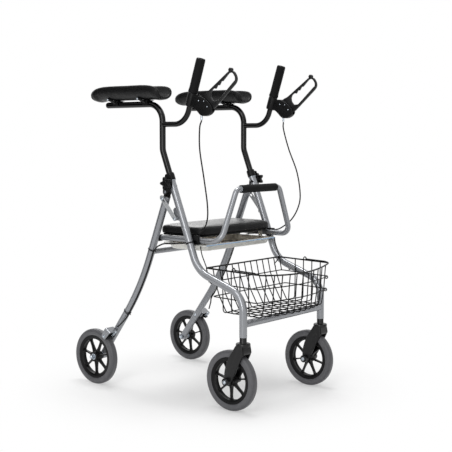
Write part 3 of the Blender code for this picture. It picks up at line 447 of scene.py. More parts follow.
@dataclass(frozen=True)
class ClearMoulding(Finish):
    """Clear moulded styrene; thin walls pass light and take a faint tint."""

    slot: str = "clear_plastic"
    see_through: float = 0.6
    tone: tuple[float, float, float] = (0.92, 1.04, 0.03)
    press: tuple[float, float] = (0.001, 0.08)

    def dress(self, look: Look) -> None:
        """Adds the see-through share and slow ripples from the mould.

        Args:
            look: The material under way.
        """
        look.shader.inputs["Transmission Weight"].default_value = self.see_through
        ripple = look.texture("Noise", 45.0, Detail=2.0)
        look.vary(ripple, *self.tone)
        look.relief(ripple, *self.press)


FRAME_PAINT = MetallicPaint(
    "silver_powder_coated_steel", "#8f9195", 0.24, 0.6, coat=0.25, coat_roughness=0.08
)
ARM_PAINT = Lacquer("black_lacquered_steel", "#040405", 0.1, specular=0.32)
NYLON = MouldedPlastic("black_moulded_nylon", "#0b0b0c", 0.38, specular=0.17)
SATIN_NYLON = MouldedPlastic("black_satin_nylon_fork_and_lever", "#0c0c0d", 0.33, specular=0.36)
RIM_NYLON = MouldedPlastic(
    "black_glass_filled_nylon_rim", "#0a0a0b", 0.38, specular=0.17, grain_mm=1.4
)
JACKET = MouldedPlastic("black_pvc_cable_jacket", "#0e0d0d", 0.38, specular=0.16, grain_mm=0.8)
TYRE = TyreCompound("grey_polyurethane_tyre", "#57575a", 0.42, specular=0.5)
SEAT_VINYL = VinylHide("black_vinyl_seat_hide", "#0c0c0d", 0.42, specular=0.14)
# The cushion's upward faces take a lighter, warmer copy of the seat vinyl. Its lighter colour is a
# painted sheen of the light grazing the top; its coat reflects for real.
SEAT_TOP_PAINTED_SHEEN = VinylHide("black_vinyl_seat_top_painted_sheen", "#161615", 0.34, coat=0.3, coat_roughness=0.25)
PAD_VINYL = VinylHide("black_vinyl_pad_hide", "#0b0b0c", 0.34, specular=0.18, crease_mm=34.0)
GRIP_FOAM = FoamRubber("black_foam_sleeve", "#111112", 0.7, specular=0.12)
ZINC = ZincPlate("zinc_plated_steel", "#bfc7cf", 0.3, 1.0)
DULL_ZINC = ZincPlate("dulled_zinc_screw_heads", "#7d8187", 0.42, 1.0)
# The stay's strip: lighter and less metallic than the frame's silver, whose record slot it shares. The
# lighter colour is painted light on its lit outer face.
STAY_STRIP_PAINTED_LIGHT = ZincPlate("zinc_plated_strip_steel", "#aeb0b2", 0.45, 0.3, slot="frame_paint")
TRAY_SHELL = ClearMoulding("clear_styrene_shell", "#eeeee9", 0.22, see_through=0.2)
TRAY_LIP = ClearMoulding("clear_styrene_edge_gathering_sky_light", "#9cc6ee", 0.2, see_through=0.1)
# The shell's inward and upward faces: a cream tint, brightened to lift the shade that the seat casts,
# which is painted light.
TRAY_INSIDE_PAINTED_LIGHT = ClearMoulding("cream_styrene_tray_inside_painted_light", "#fbeedb", 0.5, see_through=0.6)
BASKET_COAT = Lacquer(
    "black_dipped_basket_wire", "#070707", 0.3, specular=0.15, slot="basket_wire", peel_mm=1.5
)


# Shapes


def angles(count: int, offset: float = 0.0) -> list[float]:
    """Even steps round a full turn, in radians; offset is a share of one step."""
    return [FULL_TURN * (step + offset) / count for step in range(count)]


def rounded(points: Iterable[Point], radii: Sequence[float], step: float = 5.0) -> list[Vector]:
    """Turns each inner corner of a polyline through an arc.

    Args:
        points: The polyline.
        radii: One bend radius for each inner corner.
        step: Degrees of turn between two points of an arc.

    Returns:
        The path's points.
    """
    given = [Vector(p) for p in points]
    path = [given[0]]
    for before, corner, after, radius in zip(given, given[1:], given[2:], radii):
        inward = (before - corner).normalized()
        outward = (after - corner).normalized()
        turn = math.pi - inward.angle(outward)
        reach = radius * math.tan(turn / 2)
        start = corner + inward * reach
        centre = corner + (inward + outward).normalized() * (radius / math.cos(turn / 2))
        arm = start - centre
        axis = arm.cross(corner + outward * reach - centre).normalized()
        count = max(2, math.ceil(math.degrees(turn) / step))
        for index in range(count + 1):
            path.append(centre + Matrix.Rotation(turn * index / count, 3, axis) @ arm)
    path.append(given[-1])
    return path


def smooth_path(points: Iterable[Point], per_span: int = 8) -> list[Vector]:
    """A Catmull-Rom curve through the points.

    Args:
        points: The points, ends included.
        per_span: Steps between two of them.

    Returns:
        The curve's points.
    """
    given = [Vector(p) for p in points]
    padded = [2 * given[0] - given[1], *given, 2 * given[-1] - given[-2]]
    path = []
    for a, b, c, d in zip(padded, padded[1:], padded[2:], padded[3:]):
        for index in range(per_span):
            t = index / per_span
            path.append(
                0.5
                * (
                    (2 * b)
                    + (c - a) * t
                    + (2 * a - 5 * b + 4 * c - d) * t * t
                    + (3 * b - a - 3 * c + d) * t * t * t
                )
            )
    path.append(given[-1])
    return path


def soften(outline: Sequence[Point], reach: float, count: int = 4) -> list[tuple[float, float]]:
    """Rounds the corners of a flat outline.

    Args:
        outline: Corners as (y, z).
        reach: How far along each side the rounding begins, at most 0.45 of the side.
        count: Steps in each corner.

    Returns:
        The rounded outline.
    """
    made = []
    total = len(outline)
    for index in range(total):
        before = Vector(outline[index - 1])
        corner = Vector(outline[index])
        after = Vector(outline[(index + 1) % total])
        into, out = before - corner, after - corner
        first = corner + into.normalized() * min(reach, 0.45 * into.length)
        last = corner + out.normalized() * min(reach, 0.45 * out.length)
        for step in range(count + 1):
            t = step / count
            point = first * (1 - t) ** 2 + corner * 2 * t * (1 - t) + last * t * t
            made.append((point.x, point.y))
    return made


def arc(
    centre: Point, radius: float, start: float, end: float, count: int = 10
) -> list[tuple[float, float]]:
    """Points on an arc.

    Args:
        centre: The arc's centre as (y, z).
        radius: Its radius.
        start: Where it starts, in degrees from +Y towards +Z.
        end: Where it ends.
        count: Steps along it.

    Returns:
        The points as (y, z).
    """
    made = []
    for index in range(count + 1):
        angle = math.radians(start + (end - start) * index / count)
        made.append((centre[0] + radius * math.cos(angle), centre[1] + radius * math.sin(angle)))
    return made


def capsule(first: Point, second: Point, radius: float, second_radius: Optional[float] = None) -> list:
    """The outline of two circles joined by straight sides.

    Args:
        first: One circle's centre.
        second: The other's centre.
        radius: The first circle's radius.
        second_radius: The other's, where it differs.

    Returns:
        The outline.
    """
    other = radius if second_radius is None else second_radius
    heading = math.degrees(math.atan2(second[1] - first[1], second[0] - first[0]))
    return arc(second, other, heading - 90, heading + 90, 12) + arc(
        first, radius, heading + 90, heading + 270, 12
    )


def closed_up(bm: Shape) -> Shape:
    """Merges doubles and turns the faces outwards.

    Args:
        bm: The shape, which is changed.

    Returns:
        The same shape.
    """
    bmesh.ops.remove_doubles(bm, verts=bm.verts, dist=1e-7)
    bmesh.ops.recalc_face_normals(bm, faces=bm.faces)
    return bm


def bridge(bm: Shape, first: Sequence, second: Sequence) -> None:
    """Joins two rings of as many vertices with faces.

    Args:
        bm: The shape that holds them.
        first: One ring's vertices.
        second: The other ring's.
    """
    for index in range(len(first)):
        after = (index + 1) % len(first)
        bm.faces.new((first[index], first[after], second[after], second[index]))


def skinned(sections: Iterable[Iterable[Point]], closed: bool = False) -> Shape:
    """Draws a skin over sections with as many points each.

    Args:
        sections: The sections, in order.
        closed: Whether the last joins the first; otherwise both ends are closed flat.

    Returns:
        The closed shape.
    """
    bm = bmesh.new()
    rings = [[bm.verts.new(point) for point in section] for section in sections]
    for first, second in zip(rings, rings[1:]):
        bridge(bm, first, second)
    if closed:
        bridge(bm, rings[-1], rings[0])
    else:
        bm.faces.new(rings[0])
        bm.faces.new(rings[-1])
    bmesh.ops.recalc_face_normals(bm, faces=bm.faces)
    return bm


def swept(
    path: Sequence[Point],
    radius: float | Sequence[float],
    sides: int = 28,
    start: Rings = (),
    end: Rings = (),
    closed: bool = False,
) -> Shape:
    """A bar along a path.

    Args:
        path: The centre line.
        radius: One radius, or one for each point.
        sides: Sides of the section.
        start: Further rings of (distance beyond the first point, radius), such as a bore.
        end: The same beyond the last point.
        closed: Whether the path is a loop.

    Returns:
        The bar as a closed shape.
    """
    points = [Vector(p) for p in path]
    count = len(points)
    radii = list(radius) if isinstance(radius, (list, tuple)) else [radius] * count
    stations = []
    normal: Optional[Vector] = None
    for index, point in enumerate(points):
        if closed:
            before, after = points[index - 1], points[(index + 1) % count]
        else:
            before, after = points[max(index - 1, 0)], points[min(index + 1, count - 1)]
        into, out = (point - before), (after - point)
        tangent = (into.normalized() + out.normalized()).normalized()
        if normal is None:
            normal = Vector((1, 0, 0)) if abs(tangent.x) < 0.9 else Vector((0, 0, 1))
        normal = (normal - tangent * normal.dot(tangent)).normalized()
        widen = 1.0
        if closed or 0 < index < count - 1:
            widen = 1.0 / max(0.6, into.normalized().dot(tangent))
        stations.append((point, tangent, normal.copy(), radii[index] * widen))
    if not closed:
        point, tangent, normal, _ = stations[0]
        for step, size in start:
            stations.insert(0, (point - tangent * step, tangent, normal, size))
        point, tangent, normal, _ = stations[-1]
        for step, size in end:
            stations.append((point + tangent * step, tangent, normal, size))
    sections = []
    for point, tangent, normal, size in stations:
        across = tangent.cross(normal)
        towards = (normal * math.cos(angle) + across * math.sin(angle) for angle in angles(sides))
        sections.append([point + offset * size for offset in towards])
    return skinned(sections, closed)


def pin_x(
    x0: float, x1: float, place: Point, radius: float, sides: int = 24, chamfer: float = 0.0005
) -> Shape:
    """A round bar along X with small chamfers.

    Args:
        x0: Where it starts.
        x1: Where it ends.
        place: Its middle as (y, z).
        radius: Its radius.
        sides: Sides of the section.
        chamfer: The chamfer's size.

    Returns:
        The bar.
    """
    a, b = Vector((x0, *place)), Vector((x1, *place))
    along = (b - a).normalized() * chamfer
    rim = ((chamfer, radius - chamfer),)
    return swept([a + along, b - along], radius, sides, rim, rim)


def turned(profile: Rings, centre: Point, sides: int = 96) -> Shape:
    """A closed profile of (radius, x offset) turned about the X axis.

    Args:
        profile: The points of the section.
        centre: The centre of the turning.
        sides: Steps round the axis.

    Returns:
        The turned shape.
    """
    x, y, z = centre
    steps = angles(sides, 0.5)
    rings = ([(x + o, y + r * math.sin(a), z - r * math.cos(a)) for a in steps] for r, o in profile)
    return skinned(rings, closed=True)


def mirrored(half: Rings) -> list[tuple[float, float]]:
    """A section of (radius, x offset) from its half: down the -X side and up the +X side."""
    return [(r, -o) for r, o in half] + [(r, o) for r, o in reversed(half)]


def plate(outline: Sequence[Point], x0: float, x1: float) -> Shape:
    """An outline of (y, z) made solid between two X planes."""
    return closed_up(skinned([(x, y, z) for y, z in outline] for x in (x0, x1)))


def slab(outline: Sequence[Point], z0: float, z1: float) -> Shape:
    """An outline of (x, y) made solid between two Z planes.

    Args:
        outline: The corners.
        z0: One plane.
        z1: The other.

    Returns:
        The slab.
    """
    bm = plate(outline, z0, z1)
    for vert in bm.verts:
        z, x, y = vert.co
        vert.co = (x, y, z)
    bmesh.ops.recalc_face_normals(bm, faces=bm.faces)
    return bm


def bevelled(bm: Shape, width: float, segments: int = 2, angle: float = 32.0) -> Shape:
    """Rounds the sharp edges.

    Args:
        bm: The shape, which is changed.
        width: The rounding's width.
        segments: Steps in it.
        angle: Edges that turn more than this, in degrees, count as sharp.

    Returns:
        The same shape.
    """
    limit = math.radians(angle)
    edges = [e for e in bm.edges if len(e.link_faces) == 2 and e.calc_face_angle(0.0) > limit]
    bmesh.ops.bevel(
        bm,
        geom=edges,
        offset=width,
        offset_type="OFFSET",
        segments=segments,
        profile=0.5,
        affect="EDGES",
        clamp_overlap=True,
    )
    return bm


def as_object(name: str, bm: Shape) -> Object:
    """Makes a linked object.

    Args:
        name: Its name.
        bm: Its shape, which is used up.

    Returns:
        The object.
    """
    mesh = bpy.data.meshes.new(name)
    bm.to_mesh(mesh)
    bm.free()
    made = bpy.data.objects.new(name, mesh)
    bpy.context.scene.collection.objects.link(made)
    return made


def settled_mesh(obj: Object) -> bpy.types.Mesh:
    """Writes the modifiers into the mesh and removes them.

    Args:
        obj: The object.

    Returns:
        Its new mesh.
    """
    graph = bpy.context.evaluated_depsgraph_get()
    mesh = bpy.data.meshes.new_from_object(obj.evaluated_get(graph), depsgraph=graph)
    obj.modifiers.clear()
    obj.data = mesh
    return mesh


def carved(bm: Shape, tools: Sequence[Shape], operation: str = "DIFFERENCE") -> Shape:
    """The shape with the tools cut from it or added to it.

    Args:
        bm: The shape.
        tools: The shapes to cut with or to add.
        operation: DIFFERENCE or UNION.

    Returns:
        A new shape.
    """
    base = as_object("carve_base", bm)
    others = [as_object("carve_tool", tool) for tool in tools]
    for other in others:
        step = base.modifiers.new("carve", "BOOLEAN")
        step.operation = operation
        step.solver = "EXACT"
        step.object = other
    mesh = settled_mesh(base)
    made = bmesh.new()
    made.from_mesh(mesh)
    for other in (base, *others):
        bpy.data.objects.remove(other, do_unlink=True)
    return made


class Piece:
    """A named piece put together from several shapes."""

    def __init__(
        self,
        name: str,
        finish: Finish,
        body: Optional[str],
        slot: str,
        stands_for: Sequence[str] = (),
    ) -> None:
        """Starts an empty piece.

        Args:
            name: The piece's name.
            finish: Its main finish.
            body: The body it rides on, or None for none.
            slot: The record's material slot.
            stands_for: The CAD nodes it replaces.
        """
        self.name = name
        self.body = body
        self.slot = slot
        self.stands_for = stands_for
        self.bm = bmesh.new()
        self.finishes = [finish]

    def add(
        self,
        shape: Shape,
        bevel: float = 0.0,
        segments: int = 2,
        finish: Optional[Finish] = None,
    ) -> Piece:
        """Adds a shape.

        Args:
            shape: The shape, which is used up.
            bevel: The rounding of its sharp edges.
            segments: Steps in that rounding.
            finish: Its own finish, where it differs from the piece's.

        Returns:
            The piece itself.
        """
        if bevel:
            bevelled(shape, bevel, segments)
        chosen = finish or self.finishes[0]
        if chosen not in self.finishes:
            self.finishes.append(chosen)
        for face in shape.faces:
            face.material_index = self.finishes.index(chosen)
        mesh = bpy.data.meshes.new("part")
        shape.to_mesh(mesh)
        shape.free()
        self.bm.from_mesh(mesh)
        bpy.data.meshes.remove(mesh)
        return self

    def done(self) -> Object:
        """Makes the object, dresses it and lets it ride."""
        made = as_object(self.name, self.bm)
        return dress(made, self.finishes, self.body, self.slot, self.stands_for)


def dress(
    made: Object,
    finishes: Sequence[Finish],
    body: Optional[str],
    slot: str,
    stands_for: Sequence[str] = (),
    sharp: float = SHARP_ANGLE,
) -> Object:
    """Gives a mesh object its finishes and its place in the frame.

    Args:
        made: The object, whose place is in its mesh.
        finishes: One finish for each material index.
        body: The body it rides on, or None for none.
        slot: The record's material slot; not used.
        stands_for: The CAD nodes it replaces.
        sharp: Edges that turn more than this, in degrees, are shaded sharp.

    Returns:
        The object.
    """
    if not made.data.materials:
        for finish in finishes:
            made.data.materials.append(finish.material())
    made.data.shade_smooth()
    made.data.set_sharp_from_angle(angle=math.radians(sharp))
    if body:
        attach(made, body)
    if stands_for:
        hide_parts(*stands_for)
    LOG.info("%s: %d faces", made.name, len(made.data.polygons))
    return made


@dataclass
class Assembly:
    """A sub-assembly: build shapes its pieces, and dress gives them their finish and body."""

    side: Side = Side.RIGHT
    pieces: list[Piece] = field(default_factory=list)

    def piece(
        self, name: str, finish: Finish, body: Optional[str], *nodes: str, slot: str = ""
    ) -> Piece:
        """Starts one of the sub-assembly's pieces.

        Args:
            name: Its name.
            finish: Its main finish.
            body: The body it rides on, or None for none.
            nodes: The CAD nodes it replaces.
            slot: The record's slot, where it isn't the finish's own.

        Returns:
            The empty piece.
        """
        made = Piece(name, finish, body, slot or finish.slot, nodes)
        self.pieces.append(made)
        return made

    def sided(
        self, name: str, finish: Finish, body: Optional[str], *nodes: str, slot: str = ""
    ) -> Piece:
        """Starts a piece whose name, like its nodes' names, gets this side's word."""
        return self.piece(self.own(name), finish, body, *(self.own(node) for node in nodes), slot=slot)

    def own(self, name: str) -> str:
        """A name with this side's word."""
        return f"{name}_{self.side.word}"

    def x(self, distance: float) -> float:
        """The X coordinate at a distance outboard of the middle on this side."""
        return self.side.x(distance)

    def pin(self, a: float, b: float, place: Point, radius: float, *more: float) -> Shape:
        """A round bar at (y, z), between two distances outboard of the middle."""
        return pin_x(self.x(a), self.x(b), place, radius, *more)

    def head(self, a: float, b: float, place: Point, radius: float) -> Shape:
        """A pan head, flat at distance a outboard of the middle and domed at b."""
        return domed_head(self.x(a), self.x(b), place, radius)

    def nut(self, a: float, b: float, place: Point, radius: float) -> Shape:
        """A hexagon between two distances outboard of the middle."""
        return hexagon(self.x(a), self.x(b), place, radius)

    def plate(self, outline: Sequence[Point], a: float, b: float) -> Shape:
        """An outline of (y, z) made solid between two distances outboard of the middle."""
        return plate(outline, self.x(a), self.x(b))

    def build(self) -> None:
        """Shapes the pieces."""

    def dress(self) -> list[Object]:
        """Finishes the pieces."""
        return [piece.done() for piece in self.pieces]


def domed_head(x0: float, x1: float, place: Point, radius: float) -> Shape:
    """A pan head along X.

    Args:
        x0: Where its flat face lies.
        x1: Where its dome ends.
        place: Its middle as (y, z).
        radius: Its radius.

    Returns:
        The head.
    """
    sign = 1.0 if x1 > x0 else -1.0
    rise = abs(x1 - x0)
    rim = [(rise * 0.35, radius * 0.94), (rise * 0.65, radius * 0.74), (rise * 0.8, radius * 0.45)]
    return swept([(x0, *place), (x0 + sign * rise * 0.2, *place)], radius, 24, (), rim)


def hexagon(x0: float, x1: float, place: Point, radius: float, turn: float = 12.0) -> Shape:
    """A hexagon nut or head along X."""
    return plate(arc(place, radius, turn, turn + 300, 5), x0, x1)


def axis_point(z: float) -> tuple[float, float]:
    """The telescoping axis at a height, as (y, z)."""
    return (0.394 * z - 0.3015, z)


AXIS = Vector((0.0, 0.394, 1.0)).normalized()


@dataclass
class Upright(Assembly):
    """Bent front tube with its collar, knob, seat rest, stay link and small fittings."""

    at: float = UPRIGHT_X
    tube: float = FRAME_TUBE
    bore: float = 0.0112
    top: float = 0.75
    hinge: tuple[float, float] = HINGE
    collar: tuple[float, float] = (0.744, 0.768)
    knob_z: float = 0.7355
    knob_lobes: int = 5
    rest_y: float = -0.107
    strap: tuple[float, float] = (0.2372, 0.2398)
    stay_low: tuple[float, float] = (-0.0385, 0.6175)
    stay_top: tuple[float, float] = STAY_TOP

    def path(self) -> list[Vector]:
        """The tube's centre line, from the top down to the caster.

        Returns:
            The line's points.
        """
        x = self.x(self.at)
        corners = [
            (x, *axis_point(self.top)), (x, -0.1254, 0.447), (x, STEM_Y, 0.3808), (x, STEM_Y, 0.2476)
        ]
        return rounded(corners, (0.1, 0.07), 3.0)

    def build(self) -> None:
        """Shapes the tube and everything that is fixed to it."""
        tube = self.sided("upright", FRAME_PAINT, "front_frame", "front_tube")
        rim = [(0.0, self.tube - 0.0006), (0.0, self.bore + 0.0003), (-0.27, self.bore)]
        foot = [(0.0004, self.tube - 0.0005), (0.0004, 0.0112), (-0.022, 0.0108)]
        tube.add(swept(self.path(), self.tube, TUBE_SIDES, rim, foot))
        lug = [
            axis_point(0.606), (-0.0455, 0.6125), *arc(self.stay_low, 0.0066, -90, 20, 8),
            (-0.0245, 0.647), (-0.03, 0.654), axis_point(0.655),
        ]
        tube.add(self.plate(soften(lug, 0.002), 0.227, 0.2312), 0.0006)
        tube.add(self.pin(0.23, 0.2366, self.stay_low, 0.005))
        tube.add(self.head(0.2085, 0.2066, axis_point(0.72), 0.005))
        bolts = self.sided("stay_bolts", ZINC, "front_frame")
        bolts.add(self.pin(0.229, 0.241, self.stay_low, 0.0028))
        bolts.add(self.nut(0.2402, 0.242, self.stay_low, 0.0058), 0.0003)
        bolts.add(self.head(0.2418, 0.2428, self.stay_low, 0.004))
        self.build_collar()
        self.build_knob()
        self.build_stay()
        self.build_rest()

    def build_collar(self) -> None:
        """Shapes the moulded collar whose outboard arm holds the hinge pin."""
        x = self.x(self.at)
        low, high = (Vector((x, *axis_point(z))) for z in self.collar)
        collar = self.sided("collar", NYLON, "front_frame", "top_bracket")
        span = (high - low).length
        line = [low + AXIS * span * t for t in (0.0, 0.04, 0.12, 0.5, 0.84, 0.94, 1.0)]
        sizes = [0.014, 0.0147, 0.0152, 0.0152, 0.015, 0.0145, 0.0134]
        inner = [(0.0, 0.0112), (-span + 0.002, 0.0112)]
        collar.add(swept(line, sizes, TUBE_SIDES, (), inner))
        outline = [(-0.016, 0.766), (-0.023, 0.75), (-0.024, 0.73), (-0.015, 0.712)]
        outline += arc(self.hinge, 0.0103, -130, 25, 12)
        outline += [(0.0165, 0.724), (0.012, 0.748), (0.006, 0.766)]
        collar.add(self.plate(soften(outline, 0.003), 0.233, 0.2366), 0.0009)
        web = [(-0.009, 0.747), (0.005, 0.747), (0.008, 0.765), (-0.008, 0.765)]
        collar.add(self.plate(soften(web, 0.002), 0.225, 0.234), 0.0006)
        collar.add(self.pin(0.2256, 0.234, self.hinge, 0.007))
        collar.add(self.pin(0.235, 0.2395, axis_point(self.knob_z), 0.01, 36, 0.001))
        collar.add(self.pin(0.2072, 0.21, axis_point(0.725), 0.0074, 32, 0.0008))
        pins = self.sided("hinge_pin", DULL_ZINC, "front_frame")
        pins.add(swept([low - AXIS * 0.0022, low - AXIS * 0.0002], 0.0146, TUBE_SIDES), 0.0004, 1, ZINC)
        pins.add(self.pin(0.2085, 0.237, self.hinge, 0.0029))
        pins.add(self.head(0.2364, 0.2382, self.hinge, 0.0056))
        pins.add(self.head(0.2105, 0.2085, self.hinge, 0.0056))

    def build_knob(self) -> None:
        """Shapes the lobed clamping knob."""
        side = self.side.value
        y, z = axis_point(self.knob_z)
        outline = []
        for angle in angles(100):
            radius = 0.018 + 0.0046 * math.cos(self.knob_lobes * angle)
            outline.append((y + radius * math.cos(angle), z + radius * math.sin(angle)))
        knob = self.sided("knob", NYLON, self.own("knob"), "clamp_knob")
        knob.add(self.plate(outline, 0.2452, 0.259), 0.0022, 4)
        hub = [(side * 0.24, y, z), (side * 0.2455, y, z)]
        knob.add(swept(hub, [0.0092, 0.0105], FITTING_SIDES))
        face = [(0.0008, 0.0104), (0.0016, 0.0094), (0.0016, 0.0078), (0.0004, 0.007), (0.0004, 0.003)]
        knob.add(swept([(side * 0.257, y, z), (side * 0.2602, y, z)], 0.0108, FITTING_SIDES, (), face))
        knob.add(self.pin(0.2336, 0.2405, (y, z), 0.0036), finish=ZINC)

    def build_stay(self) -> None:
        """Shapes the slotted flat stay between the leg and the tube."""
        low, high = Vector(self.stay_low), Vector(self.stay_top)
        along = (high - low).normalized()
        strap = self.plate(capsule(low, high + along * 0.0045, 0.0078, 0.008), *self.strap)
        eye = self.pin(0.23, 0.245, self.stay_low, 0.0033)
        slot = self.plate(capsule(high - along * 0.0135, high, 0.0036), 0.23, 0.245)
        # The strap's lighter colour is painted light.
        stay = self.sided("stay", STAY_STRIP_PAINTED_LIGHT, self.own("stay"), "stay_link")
        stay.add(carved(strap, [eye, slot]), 0.0004, 1)

    def build_rest(self) -> None:
        """Shapes the moulded rest of the seat rail, with its clip and strap."""
        y0 = self.rest_y
        rest = self.sided("rest", NYLON, "front_frame", "seat_saddle")
        shelf = [(y0 - 0.011, 0.5328), (y0 + 0.011, 0.5328), (y0 + 0.011, 0.5352), (y0 - 0.011, 0.5352)]
        rest.add(self.plate(soften(shelf, 0.001, 2), 0.186, 0.2069), 0.0006)
        near = axis_point(0.54)[0]
        wall = [
            (y0 - 0.011, 0.5328), (near + 0.002, 0.5328), (near + 0.004, 0.56), (y0 - 0.004, 0.56),
            (y0 - 0.011, 0.552),
        ]
        rest.add(self.plate(soften(wall, 0.002), 0.204, 0.2069), 0.0007)
        top = 0.564 if self.side is Side.RIGHT else 0.56
        clip = [(y0 - 0.0135, 0.546), (-0.096, 0.546), (-0.094, 0.554), (-0.1, top), (y0 - 0.0135, top)]
        rest.add(self.plate(soften(clip, 0.003), 0.2045, 0.2132), 0.0012)
        x = self.x(self.at)
        centre = Vector((x, *axis_point(0.5375)))
        band = swept([centre - AXIS * 0.0024, centre + AXIS * 0.0024], 0.0135, TUBE_SIDES)
        rest.add(carved(band, [swept([centre - AXIS * 0.01, centre + AXIS * 0.01], 0.0122, TUBE_SIDES)]))
        small = self.sided("tube_clip", NYLON, "front_frame")
        block = [(-0.189, 0.415), (-0.179, 0.4184), (-0.18, 0.4112), (-0.186, 0.4094)]
        small.add(plate(soften(block, 0.0015), x - 0.004, x + 0.004), 0.0005)


